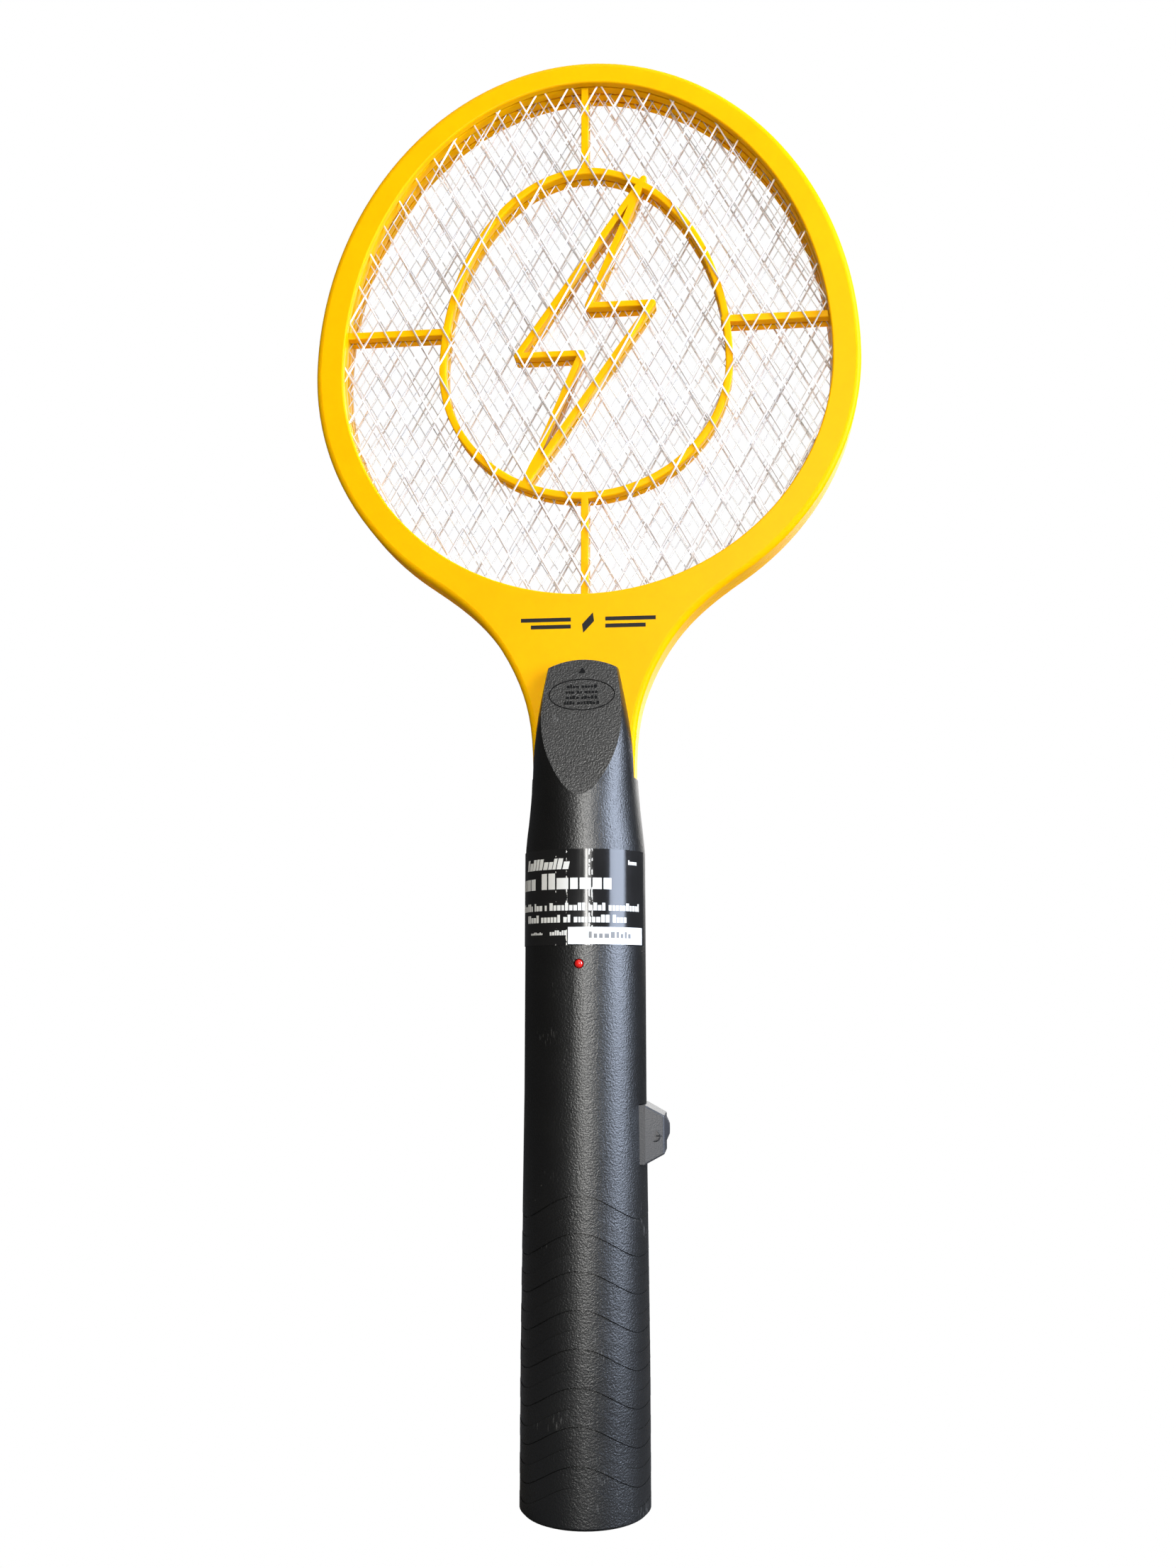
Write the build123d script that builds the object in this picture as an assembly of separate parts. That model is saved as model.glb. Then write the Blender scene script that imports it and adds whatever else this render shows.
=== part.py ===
from build123d import *
import math
import os

# Electric fly swatter: a yellow racket head with three wire grids on a black two-cell handle.
# Millimetres. Z runs up the handle from its flat base, the face with the lamp looks towards -Y,
# and the push button is on the +X side. Every piece is a separate solid in its own file.

# ---- Head ----
HEAD_CENTRE_Z = 387.3      # height of the widest line of the head
RIM_HALF_WIDTH = 97.7
RIM_RISE = 115.8           # from the widest line up to the top of the rim
RIM_DROP = 96.0            # from the widest line down to where the egg shape would close
OPENING_HALF_WIDTH = 87.7
OPENING_RISE = 107.5
OPENING_DROP = 85.4
HEAD_HALF_DEPTH = 7.5
RIM_WALL = 2.2
RIM_ROUND = 2.1
LIP_ROUND = 0.55           # rounding of the opening's front edge
NECK_HALF_WIDTH = 17.5
NECK_BOTTOM_Z = 237.0
WIRE_GATES_X = (-6.0, 0.0, 6.0)   # where the three grid wires pass the hoops

# ---- Grid stack, from the live grid outwards ----
GRID_THICKNESS = 0.6
SPACER_DEPTH = 3.9
GUARD_FACE = GRID_THICKNESS / 2 + SPACER_DEPTH + GRID_THICKNESS   # outer face of a guard grid
GRID_OVERLAP = 2.6         # how far a grid runs in behind the lip
GRID_BORDER = 1.0
GUARD_PITCH_X = 10.8
GUARD_PITCH_Z = 19.8
GUARD_STRAND = 0.9
LIVE_PITCH_X = 9.0        # every second strand of the real sheet
LIVE_PITCH_Z = 15.2
LIVE_STRAND = 0.6

# ---- Ribs of a spacer ----
SPOKE_WIDTH = 2.6
SPOKE_Z = 402.3
RING_HALF_WIDTH = 53.0
RING_RISE = 76.0
RING_DROP = 50.0
RING_WIDTH = 2.6
BOLT_WIDTH = 2.35
BOLT_CENTRE_Z = 400.8
BOLT_TIP = (21.5, 57.0)
BOLT_ELBOW = (24.5, 9.0)
BOLT_NOTCH = (1.2, 9.0)

# ---- Handle ----
HANDLE_RADIUS = 20.5
BASE_RADIUS = 21.3
GRIP_TOP_Z = 45.0          # the grip keeps the base radius up to here
BARREL_BOTTOM_Z = 131.0    # above here the barrel is a plain cylinder
TAPER_BOTTOM_Z = 211.7
TONGUE_TOP_Z = 277.8
HANDLE_WALL = 2.2
BASE_ROUND = 1.0
PARTING_GAP = 0.05         # each shell stays this far from the parting plane
FACET_TOP_Y = 9.7          # depth of the flat facet at the top of the tongue
FACET_SLOPE = 0.216
TONGUE_ARCH_RADIUS = 25.4

# ---- Grip pattern ----
WAVE_COUNT = 8
WAVE_PITCH = 11.65
WAVE_TOP_CREST_Z = 100.7
WAVE_BAND_HEIGHT = 6.1
WAVE_SWING = 4.35
WAVE_DEPTH = 0.5
GROOVE_DEPTH = 1.1         # of the thin line along the upper edge of each band
GROOVE_HALF_HEIGHT = 0.22

# ---- Battery bay ----
CELL_RADIUS = 16.5
CELL_LENGTH = 60.0
CELL_NUB_RADIUS = 4.75
CELL_NUB_LENGTH = 1.5
CELL_AXIS_X = -1.2
CELL_BOTTOM_Z = 9.0
DOOR_LEFT_X = -17.8
DOOR_RIGHT_X = 15.6
DOOR_BOTTOM_Z = 6.0
DOOR_TOP_Z = 143.5
DOOR_GAP = 0.25
DOOR_SCREW_Z = 139.0

# ---- Push button ----
BUTTON_Z = 118.5
BUTTON_LENGTH = 19.0
BUTTON_TOP_LENGTH = 12.3
BUTTON_HALF_WIDTH = 8.6
BUTTON_TOP_HALF_WIDTH = 7.6
BUTTON_FACE_X = 26.9
BUTTON_SHOULDER_X = 20.6
BUTTON_WALL = 1.2
THUMB_NUB_Z = 120.0        # a low cone on the button's outer face
THUMB_NUB_RADIUS = 4.75
THUMB_NUB_TOP = 1.8
THUMB_NUB_HEIGHT = 1.3
SWITCH_BOARD_X = 15.9
SWITCH_BOARD_THICKNESS = 0.8
SWITCH_FACE_X = 20.4
PAD_X = SWITCH_BOARD_X + SWITCH_BOARD_THICKNESS + 0.02

# ---- Electronics ----
BOARD_HALF_WIDTH = 13.5
BOARD_BOTTOM_Z = 156.0
BOARD_TOP_Z = 220.0
BOARD_FRONT_Y = 3.0
BOARD_THICKNESS = 1.6
LAMP_Z = 174.0
LAMP_RADIUS = 1.5

# ---- Label and sticker ----
LABEL_BOTTOM_Z = 180.0
LABEL_TOP_Z = 211.6
LABEL_THICKNESS = 0.15

# ---- Screws ----
SCREW_SHANK = 1.3
SCREW_HEAD = 2.4
SCREW_HEAD_DEPTH = 1.5
BOSS_RADIUS = 2.9
RIM_BOSS_RADIUS = 2.4
RIM_SCREW_ANGLES = (35, 90, 145, 205, 335)
RIM_SHOULDER_SCREW_X = 40.0
HANDLE_SCREWS = ((-12.0, 149.0), (12.0, 149.0), (0.0, 226.0))
NECK_SCREW_Z = 252.0

os.makedirs("parts", exist_ok=True)


def save(shape, node):
    """Writes one sub-part to its own file."""
    export_step(shape, f"parts/{node}.step")


def slab(sketch, front_y, back_y):
    """Extrudes a sketch drawn in (X, Z) so that it fills front_y to back_y."""
    return extrude(Plane.XZ.offset(-back_y) * sketch, amount=back_y - front_y, dir=(0, -1, 0))


def block(x0, x1, y0, y1, z0, z1):
    """A box between two corners."""
    size = (x1 - x0, y1 - y0, z1 - z0)
    middle = ((x0 + x1) / 2, (y0 + y1) / 2, (z0 + z1) / 2)
    return Pos(*middle) * Box(*size)


def rod_y(x, z, y0, y1, radius):
    """A round bar along Y."""
    return Pos(x, (y0 + y1) / 2, z) * Rot(90, 0, 0) * Cylinder(radius, y1 - y0)


def rod_x(y, z, x0, x1, radius):
    """A round bar along X."""
    return Pos((x0 + x1) / 2, y, z) * Rot(0, 90, 0) * Cylinder(radius, x1 - x0)


def rod_z(x, y, z0, z1, radius):
    """A round bar along Z."""
    return Pos(x, y, (z0 + z1) / 2) * Cylinder(radius, z1 - z0)


def flip(shape):
    """The same piece on the rear side."""
    return mirror(shape, about=Plane.XZ)


def wire_tube(points, bend_radii, diameter):
    """A held wire: straight runs joined by tangent arcs."""
    path = FilletPolyline(*points, radius=bend_radii)
    start = Plane(origin=path @ 0, z_dir=path % 0)
    return sweep(start * Circle(diameter / 2), path=path)


# ======================================================================================
# Head
# ======================================================================================

def egg(half_width, rise, drop):
    """An egg outline in (X, Z): two half ellipses that share their widest line."""
    centre = (0, HEAD_CENTRE_Z)
    top = EllipticalCenterArc(centre, half_width, rise, 0, arc_size=180)
    bottom = EllipticalCenterArc(centre, half_width, drop, 180, arc_size=180)
    return make_face([top, bottom])


def rim_egg(inset):
    return egg(RIM_HALF_WIDTH - inset, RIM_RISE - inset, RIM_DROP - inset)


def opening_egg(growth):
    return egg(OPENING_HALF_WIDTH + growth, OPENING_RISE + growth, OPENING_DROP + growth)


def neck_sketch(inset):
    """The neck, from inside the egg down to the handle, with concave shoulders."""
    joint_x = 56.0
    reach = math.sqrt(1 - (joint_x / RIM_HALF_WIDTH) ** 2)
    joint_z = HEAD_CENTRE_Z - RIM_DROP * reach
    slope = RIM_DROP * joint_x / RIM_HALF_WIDTH ** 2 / reach
    shoulder = Spline(
        (joint_x, joint_z),
        (34.6 - inset, 290.6),
        (22.1 - inset, 269.3),
        (NECK_HALF_WIDTH - inset, NECK_BOTTOM_Z + inset),
        tangents=[(-1, -slope), (0, -1)],
    )
    other = mirror(shoulder, about=Plane.YZ)
    foot = Line(shoulder @ 1, other @ 1)
    top = Line(shoulder @ 0, other @ 0)
    return make_face([shoulder, foot, other, top])


def rim_screw_places():
    """(x, z) of the screws around the rim, midway between opening and outer wall."""
    width = (OPENING_HALF_WIDTH + RIM_HALF_WIDTH - RIM_WALL) / 2
    rise = (OPENING_RISE + RIM_RISE - RIM_WALL) / 2
    drop = (OPENING_DROP + RIM_DROP - RIM_WALL) / 2
    places = []
    for angle in RIM_SCREW_ANGLES:
        up = math.sin(math.radians(angle))
        height = rise if up > 0 else drop
        places.append((width * math.cos(math.radians(angle)), HEAD_CENTRE_Z + height * up))
    for side in (-1, 1):
        reach = math.sqrt(1 - (RIM_SHOULDER_SCREW_X / width) ** 2)
        places.append((side * RIM_SHOULDER_SCREW_X, HEAD_CENTRE_Z - drop * reach))
    return places


def frame_half():
    """Front half of the racket frame: rounded rim, lip, pocket for the grids, hollow neck."""
    outline = rim_egg(0) + neck_sketch(0)
    half = slab(outline, -HEAD_HALF_DEPTH, 0)
    front_edges = half.faces().sort_by(Axis.Y)[0].outer_wire().edges()
    half = fillet([e for e in front_edges if e.center().Z > NECK_BOTTOM_Z + 1], RIM_ROUND)
    half -= slab(opening_egg(0), -HEAD_HALF_DEPTH - 1, 1)
    half = fillet(half.faces().sort_by(Axis.Y)[0].inner_wires()[0].edges(), LIP_ROUND)
    half -= slab(rim_egg(RIM_WALL), -GUARD_FACE, 1)
    neck_hollow = neck_sketch(RIM_WALL) - rim_egg(-RIM_WALL)
    half -= slab(neck_hollow, -HEAD_HALF_DEPTH + RIM_WALL, 1)
    places = rim_screw_places()
    half += [rod_y(x, z, -GUARD_FACE, -PARTING_GAP, RIM_BOSS_RADIUS) for x, z in places]
    half += rod_y(0, NECK_SCREW_Z, -HEAD_HALF_DEPTH + 1, -PARTING_GAP, BOSS_RADIUS)
    half -= [rod_y(x, z, -GUARD_FACE, 1, SCREW_SHANK + 0.05) for x, z in places]
    wall_z = HEAD_CENTRE_Z - RIM_DROP
    half -= [
        rod_y(0, NECK_SCREW_Z, -HEAD_HALF_DEPTH - 1, 1, SCREW_SHANK + 0.2),
        block(-7.5, 7.5, -GUARD_FACE, 1, wall_z - RIM_WALL - 1, wall_z + RIM_WALL + 1),
        block(-8.0, 8.0, -HEAD_HALF_DEPTH + RIM_WALL, 1, NECK_BOTTOM_Z - 1, NECK_BOTTOM_Z + 4),
        block(-100, 100, -PARTING_GAP, 1, 200, 520),
    ]
    return half


front_frame = frame_half()
rear_frame = flip(front_frame)
for x, z in rim_screw_places():
    rear_frame -= rod_y(x, z, GUARD_FACE - 1, HEAD_HALF_DEPTH + 1, SCREW_SHANK + 0.2)
    rear_frame -= rod_y(x, z, HEAD_HALF_DEPTH - SCREW_HEAD_DEPTH, HEAD_HALF_DEPTH + 1, SCREW_HEAD + 0.2)
save(front_frame, "front_frame")
save(rear_frame, "rear_frame")


def frame_screws():
    """The self-tapping screws that pull the two frame halves together from the rear."""
    seat_y = HEAD_HALF_DEPTH - SCREW_HEAD_DEPTH
    group = []
    for x, z in rim_screw_places():
        head = rod_y(x, z, seat_y + 0.05, HEAD_HALF_DEPTH - 0.1, SCREW_HEAD)
        slot = block(x - 1.6, x + 1.6, HEAD_HALF_DEPTH - 0.7, HEAD_HALF_DEPTH, z - 0.3, z + 0.3)
        cross = block(x - 0.3, x + 0.3, HEAD_HALF_DEPTH - 0.7, HEAD_HALF_DEPTH, z - 1.6, z + 1.6)
        group.append(head - slot - cross + rod_y(x, z, -3.4, seat_y + 0.5, SCREW_SHANK))
    return Compound(children=group)


save(frame_screws(), "frame_screws")


# ---- Grids ----

def inside_window(point):
    """True where a point lies inside the part of a grid that is open mesh."""
    growth = GRID_OVERLAP - GRID_BORDER
    reach = OPENING_RISE if point[1] > HEAD_CENTRE_Z else OPENING_DROP
    across = point[0] / (OPENING_HALF_WIDTH + growth)
    along = (point[1] - HEAD_CENTRE_Z) / (reach + growth)
    return across ** 2 + along ** 2 < 1


def diamonds(pitch_x, pitch_z, strand):
    """Corner lists of the diamonds of an expanded-metal sheet that reach into the open mesh."""
    half_x = pitch_x / 2 - strand * 0.75
    half_z = pitch_z / 2 - strand * 1.3
    columns = int(OPENING_HALF_WIDTH / pitch_x) + 2
    rows = int(2 * OPENING_RISE / pitch_z) + 2
    found = []
    for row in range(-rows, rows + 1):
        z = HEAD_CENTRE_Z + row * pitch_z / 2
        for column in range(-columns, columns + 1):
            x = (column + (row % 2) / 2) * pitch_x
            corners = [(x - half_x, z), (x, z - half_z), (x + half_x, z), (x, z + half_z)]
            if any(inside_window(c) for c in corners):
                found.append(corners)
    return found


def mesh_holes(pitch_x, pitch_z, strand):
    """Wires of the diamonds, trimmed at the border and left out beside the screw bosses."""
    window = opening_egg(GRID_OVERLAP - GRID_BORDER)
    clearance = RIM_BOSS_RADIUS + 0.6
    for x, z in rim_screw_places():
        window -= Pos(x, z) * Circle(clearance)
    wires = []
    for corners in diamonds(pitch_x, pitch_z, strand):
        near_boss = any(math.dist(c, place) < clearance + 2 for c in corners for place in rim_screw_places())
        hole = make_face(Polyline(*corners, close=True))
        if all(inside_window(c) for c in corners) and not near_boss:
            wires.append(hole.face().outer_wire())
            continue
        wires += [piece.outer_wire() for piece in (hole & window).faces() if piece.area > 0.5]
    return wires


def grid_sheet(pitch_x, pitch_z, strand, front_y):
    """One expanded-metal sheet with a thin solid border, notched round the screw bosses."""
    outline = opening_egg(GRID_OVERLAP)
    for x, z in rim_screw_places():
        outline -= Pos(x, z) * Circle(RIM_BOSS_RADIUS + 0.3)
    sheet = Face(outline.face().outer_wire(), mesh_holes(pitch_x, pitch_z, strand))
    return slab(Sketch() + sheet, front_y, front_y + GRID_THICKNESS)


front_guard_grid = grid_sheet(GUARD_PITCH_X, GUARD_PITCH_Z, GUARD_STRAND, -GUARD_FACE)
save(front_guard_grid, "front_guard_grid")
save(flip(front_guard_grid), "rear_guard_grid")
save(grid_sheet(LIVE_PITCH_X, LIVE_PITCH_Z, LIVE_STRAND, -GRID_THICKNESS / 2), "live_grid")


# ---- Spacers ----

def bar(start, end, width):
    """A straight rib with round ends, drawn in (X, Z)."""
    length = math.dist(start, end)
    middle = ((start[0] + end[0]) / 2, (start[1] + end[1]) / 2)
    turn = math.degrees(math.atan2(end[1] - start[1], end[0] - start[0]))
    return Pos(*middle) * SlotCenterToCenter(length, width, rotation=turn)


def bolt_corners():
    """The six corners of the lightning bolt, which looks the same upside down."""
    upper = [BOLT_TIP, (-BOLT_ELBOW[0], -BOLT_ELBOW[1]), (-BOLT_NOTCH[0], -BOLT_NOTCH[1])]
    lower = [(-x, -z) for x, z in upper]
    return [(x, BOLT_CENTRE_Z + z) for x, z in upper + lower]


def spacer():
    """Front spacer: hoop, four spokes, oval ring and hollow lightning bolt in one moulding."""
    hoop = rim_egg(RIM_WALL + 0.1) - opening_egg(0)
    ring_out = egg(RING_HALF_WIDTH, RING_RISE, RING_DROP)
    inner = [v - RING_WIDTH for v in (RING_HALF_WIDTH, RING_RISE, RING_DROP)]
    sketch = hoop + (ring_out - egg(*inner))
    reach = RING_HALF_WIDTH - RING_WIDTH / 2
    for side in (-1, 1):
        sketch += bar((side * reach * 0.97, SPOKE_Z), (side * (OPENING_HALF_WIDTH + 1), SPOKE_Z), SPOKE_WIDTH)
    top_z = HEAD_CENTRE_Z + RING_RISE - RING_WIDTH / 2
    bottom_z = HEAD_CENTRE_Z - RING_DROP + RING_WIDTH / 2
    sketch += bar((0, top_z), (0, HEAD_CENTRE_Z + OPENING_RISE + 1), SPOKE_WIDTH)
    sketch += bar((0, bottom_z), (0, HEAD_CENTRE_Z - OPENING_DROP - 1), SPOKE_WIDTH)
    corners = bolt_corners()
    for start, end in zip(corners, corners[1:] + corners[:1]):
        sketch += bar(start, end, BOLT_WIDTH)
    hoop_bottom = HEAD_CENTRE_Z - RIM_DROP
    for x in WIRE_GATES_X:
        sketch -= Pos(x, hoop_bottom + 5.5) * Rectangle(2.2, 8.0)
    for x, z in rim_screw_places():
        sketch -= Pos(x, z) * Circle(RIM_BOSS_RADIUS + 0.2)
    return slab(sketch, -GUARD_FACE + GRID_THICKNESS, -GRID_THICKNESS / 2)


front_spacer = spacer()
save(front_spacer, "front_spacer")
save(flip(front_spacer), "rear_spacer")


# ======================================================================================
# Handle
# ======================================================================================

# Cross-sections of the taper: height, half width, half depth and squareness (2 is round).
# It starts a hair inside the barrel, which leaves a fine step at the label's upper edge.
TAPER_STEP = 0.06
TAPER_SECTIONS = (
    (TAPER_BOTTOM_Z, HANDLE_RADIUS - TAPER_STEP, HANDLE_RADIUS - TAPER_STEP, 2.0),
    (219.0, 19.8, 20.3, 2.0),
    (229.0, 18.75, 20.1, 2.1),
    (241.0, 17.9, 19.8, 2.5),
    (258.0, 15.7, 18.8, 3.4),
    (270.0, 13.3, 16.0, 4.2),
    (279.5, 11.1, 13.0, 5.0),
)
SECTION_POINTS = 16


def taper_section(z, half_width, half_depth, squareness):
    """A closed smooth section: a circle that turns into a rounded rectangle."""
    points = []
    for step in range(SECTION_POINTS):
        angle = 2 * math.pi * step / SECTION_POINTS
        across = abs(math.cos(angle) / half_width) ** squareness
        along = abs(math.sin(angle) / half_depth) ** squareness
        reach = (across + along) ** (-1 / squareness)
        points.append((reach * math.cos(angle), reach * math.sin(angle), z))
    return Face(Wire(Spline(*points, periodic=True)))


def barrel_body(growth):
    """The round lower part of the handle, grown or shrunk by an offset."""
    base_z = -growth if growth < 0 else 0
    corner = BASE_ROUND if growth > -BASE_ROUND else 0.3
    profile = Polyline(
        (0, base_z),
        (BASE_RADIUS + growth - corner, base_z),
        (BASE_RADIUS + growth, base_z + corner),
        (BASE_RADIUS + growth, GRIP_TOP_Z),
        (HANDLE_RADIUS + growth, BARREL_BOTTOM_Z),
        (HANDLE_RADIUS + growth, TAPER_BOTTOM_Z),
        (0, TAPER_BOTTOM_Z),
        close=True,
    )
    return revolve(Plane.XZ * make_face(profile), axis=Axis.Z)


def handle_body(growth):
    """The whole outer form of the handle, grown or shrunk by an offset."""
    sections = [taper_section(z, a + growth, b + growth, n) for z, a, b, n in TAPER_SECTIONS]
    return barrel_body(growth) + loft(sections)


def facet_y(z):
    """Distance of the front facet from the parting plane."""
    return FACET_TOP_Y + FACET_SLOPE * (TONGUE_TOP_Z - z)


def facet_cutter(depth):
    """Everything in front of the flat facet, moved inwards by depth."""
    low_z, high_z = 215.0, 290.0
    corners = ((-facet_y(low_z) + depth, low_z), (-facet_y(high_z) + depth, high_z), (-40, high_z), (-40, low_z))
    return extrude(Plane.YZ * make_face(Polyline(*corners, close=True)), amount=40, both=True)


def wave_line(top_z, radius):
    """One wavy line of the grip, as seen from the front."""
    points = []
    for degrees in range(-90, 91, 15):
        angle = math.radians(degrees)
        points.append((radius * math.sin(angle), top_z - WAVE_SWING + WAVE_SWING * math.cos(3 * angle)))
    return Spline(*points)


def wave_band(top_z, height, depth):
    """What is cut away between two wavy lines: deepest in front, nothing at the parting line."""
    upper = wave_line(top_z, BASE_RADIUS + 1)
    lower = wave_line(top_z - height, BASE_RADIUS + 1)
    sides = [Line(upper @ 0, lower @ 0), Line(upper @ 1, lower @ 1)]
    return slab(make_face([upper, lower] + sides), -30, 0) - Pos(0, depth, 0) * barrel_body(0)


def wave_crests():
    return [WAVE_TOP_CREST_Z - band * WAVE_PITCH for band in range(WAVE_COUNT)]


def tongue_arch():
    """What is cut away above the arched top edge of the tongue."""
    arch_z = TONGUE_TOP_Z - TONGUE_ARCH_RADIUS
    return block(-40, 40, -40, 40, arch_z + 12, 300) - rod_y(0, arch_z, -41, 41, TONGUE_ARCH_RADIUS)


def facet_oval():
    """The engraved oval ring on the facet."""
    centre_z = 265.0
    tilt = math.atan(FACET_SLOPE)
    face = Plane(
        origin=(0, -facet_y(centre_z), centre_z),
        x_dir=(1, 0, 0),
        z_dir=(0, -math.cos(tilt), math.sin(tilt)),
    )
    ring = Ellipse(11.4, 5.9) - Ellipse(11.0, 5.5)
    return extrude(face * ring, amount=0.3, both=True)


OUTER = handle_body(0)
INNER = handle_body(-HANDLE_WALL)
MID_WALL = handle_body(-HANDLE_WALL / 2)      # inner features are trimmed to end in the casing wall
NECK_SLOT = block(-40, 40, -HEAD_HALF_DEPTH - 0.05, HEAD_HALF_DEPTH + 0.05, NECK_BOTTOM_Z - 0.1, 300)
BUTTON_SLOT = block(
    10, 40,
    -BUTTON_HALF_WIDTH - 0.2, BUTTON_HALF_WIDTH + 0.2,
    BUTTON_Z - BUTTON_LENGTH / 2 - 0.2, BUTTON_Z + BUTTON_LENGTH / 2 + 0.2,
)


def plain_shell():
    """Front half of the bare casing, before bosses, slots and holes."""
    front = block(-40, 40, -40, -PARTING_GAP, -1, 300)
    cavity = (INNER & front) - facet_cutter(HANDLE_WALL)
    cutters = [cavity, facet_cutter(0), tongue_arch(), NECK_SLOT, facet_oval()]
    bands = [wave_band(z, WAVE_BAND_HEIGHT, WAVE_DEPTH) for z in wave_crests()]
    grooves = [wave_band(z + GROOVE_HALF_HEIGHT, 2 * GROOVE_HALF_HEIGHT, GROOVE_DEPTH) for z in wave_crests()]
    return (OUTER & front) - (cutters + bands) - grooves


SHELL = plain_shell()
PAD_HEIGHTS = ((102.0, 104.6), (129.6, 132.0))     # pads that carry the switch board
CELL_STOP_Z = 132.55
NEGATIVE_WIRE_X, NEGATIVE_WIRE_Y = 8.75, -15.1


def board_screw_places():
    return [(x, z) for x in (-9.0, 9.0) for z in (BOARD_BOTTOM_Z + 4, BOARD_TOP_Z - 4)]


def front_handle_part():
    """Front casing: lamp hole, screw bosses, cell stop and pads for the switch board."""
    inside = [rod_y(x, z, -25, -PARTING_GAP, BOSS_RADIUS) for x, z in HANDLE_SCREWS]
    inside += [block(PAD_X, 30, -4.5, -PARTING_GAP, low, high) for low, high in PAD_HEIGHTS]
    stop = block(-30, 30, -30, -PARTING_GAP, CELL_STOP_Z, CELL_STOP_Z + 1.6)
    stop -= block(-8.0, -4.0, -4, 1, CELL_STOP_Z - 1, CELL_STOP_Z + 3)
    stop -= block(15.0, 19.0, -4.2, 1, CELL_STOP_Z - 1, CELL_STOP_Z + 3)
    stop -= rod_z(NEGATIVE_WIRE_X, NEGATIVE_WIRE_Y, CELL_STOP_Z - 1, CELL_STOP_Z + 3, 0.9)
    shell = SHELL + [piece & MID_WALL for piece in inside + [stop]]
    shell += rod_y(0, NECK_SCREW_Z, -facet_y(NECK_SCREW_Z) + 1, -HEAD_HALF_DEPTH - 0.1, BOSS_RADIUS)
    holes = [rod_y(x, z, -12, 0, SCREW_SHANK + 0.05) for x, z in HANDLE_SCREWS]
    holes.append(rod_y(0, NECK_SCREW_Z, -facet_y(NECK_SCREW_Z) + 1.5, 0, SCREW_SHANK + 0.05))
    holes.append(rod_y(0, LAMP_Z, -30, -10, LAMP_RADIUS + 0.15))
    return shell - (holes + [BUTTON_SLOT])


front_handle = front_handle_part()
save(front_handle, "front_handle")


def door_region(gap):
    """The part of the rear casing that lifts off to reach the cells."""
    return block(DOOR_LEFT_X + gap, DOOR_RIGHT_X - gap, 2, 40, DOOR_BOTTOM_Z + gap, DOOR_TOP_Z - gap)


def rear_handle_part():
    """Rear casing: opening for the battery door, counterbored screw bosses, bridge under the door."""
    post_y = BOARD_FRONT_Y + BOARD_THICKNESS + 0.02
    inside = [rod_y(x, z, PARTING_GAP, 25, BOSS_RADIUS + 0.4) for x, z in HANDLE_SCREWS]
    inside += [rod_y(x, z, post_y, 25, 2.4) for x, z in board_screw_places()]
    inside += [block(PAD_X, 30, PARTING_GAP, 4.5, low, high) for low, high in PAD_HEIGHTS]
    inside.append(block(-30, 30, 0.5, 4.6, DOOR_SCREW_Z - 3.4, DOOR_SCREW_Z + 3.4))
    shell = (flip(SHELL) - door_region(0)) + [piece & MID_WALL for piece in inside]
    shell += rod_y(CELL_AXIS_X, DOOR_SCREW_Z, 4.0, 15.4, BOSS_RADIUS)
    shell += block(-7, 5, 15.0, 16.9, HANDLE_WALL - 0.5, DOOR_BOTTOM_Z + 2)
    shell += rod_y(0, NECK_SCREW_Z, HEAD_HALF_DEPTH + 0.1, facet_y(NECK_SCREW_Z) - 1, BOSS_RADIUS + 0.4)
    holes = [BUTTON_SLOT]
    for x, z in HANDLE_SCREWS:
        holes.append(rod_y(x, z, 0, 30, SCREW_SHANK + 0.2))
        holes.append(rod_y(x, z, 7.0, 30, SCREW_HEAD + 0.2))
    holes.append(rod_y(0, NECK_SCREW_Z, 0, 30, SCREW_SHANK + 0.2))
    holes.append(rod_y(0, NECK_SCREW_Z, HEAD_HALF_DEPTH + 1.6, 30, SCREW_HEAD + 0.2))
    holes.append(rod_y(CELL_AXIS_X, DOOR_SCREW_Z, 5.0, 16, SCREW_SHANK + 0.08))
    holes += [rod_y(x, z, BOARD_FRONT_Y, 12, 1.05) for x, z in board_screw_places()]
    return shell - holes


rear_handle = rear_handle_part()
save(rear_handle, "rear_handle")


def battery_door_part():
    """Battery door: a curved panel with the grip pattern and one countersunk screw boss."""
    panel = flip(SHELL) & door_region(DOOR_GAP)
    panel += rod_y(CELL_AXIS_X, DOOR_SCREW_Z, 15.6, 25, BOSS_RADIUS + 0.6) & MID_WALL
    return panel - [
        rod_y(CELL_AXIS_X, DOOR_SCREW_Z, 10, 30, SCREW_SHANK + 0.15),
        rod_y(CELL_AXIS_X, DOOR_SCREW_Z, 18.4, 30, SCREW_HEAD + 0.15),
    ]


battery_door = battery_door_part()
save(battery_door, "battery_door")


def cross_screw(x, z, tip_y, seat_y, head_y):
    """A pan-head screw along Y with a cross recess in its rear face."""
    head = rod_y(x, z, seat_y, head_y, SCREW_HEAD)
    for wide, tall in ((1.6, 0.3), (0.3, 1.6)):
        head -= block(x - wide, x + wide, head_y - 0.7, head_y + 0.1, z - tall, z + tall)
    return head + rod_y(x, z, tip_y, seat_y + 0.5, SCREW_SHANK)


save(cross_screw(CELL_AXIS_X, DOOR_SCREW_Z, 8.5, 18.45, 20.0), "door_screw")


def handle_screws():
    """Three screws through the casings and one through the neck of the head."""
    group = [cross_screw(x, z, -9.0, 7.05, 8.7) for x, z in HANDLE_SCREWS]
    neck_seat = HEAD_HALF_DEPTH + 1.65
    group.append(cross_screw(0, NECK_SCREW_Z, -12.0, neck_seat, neck_seat + 1.6))
    return Compound(children=group)


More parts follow.
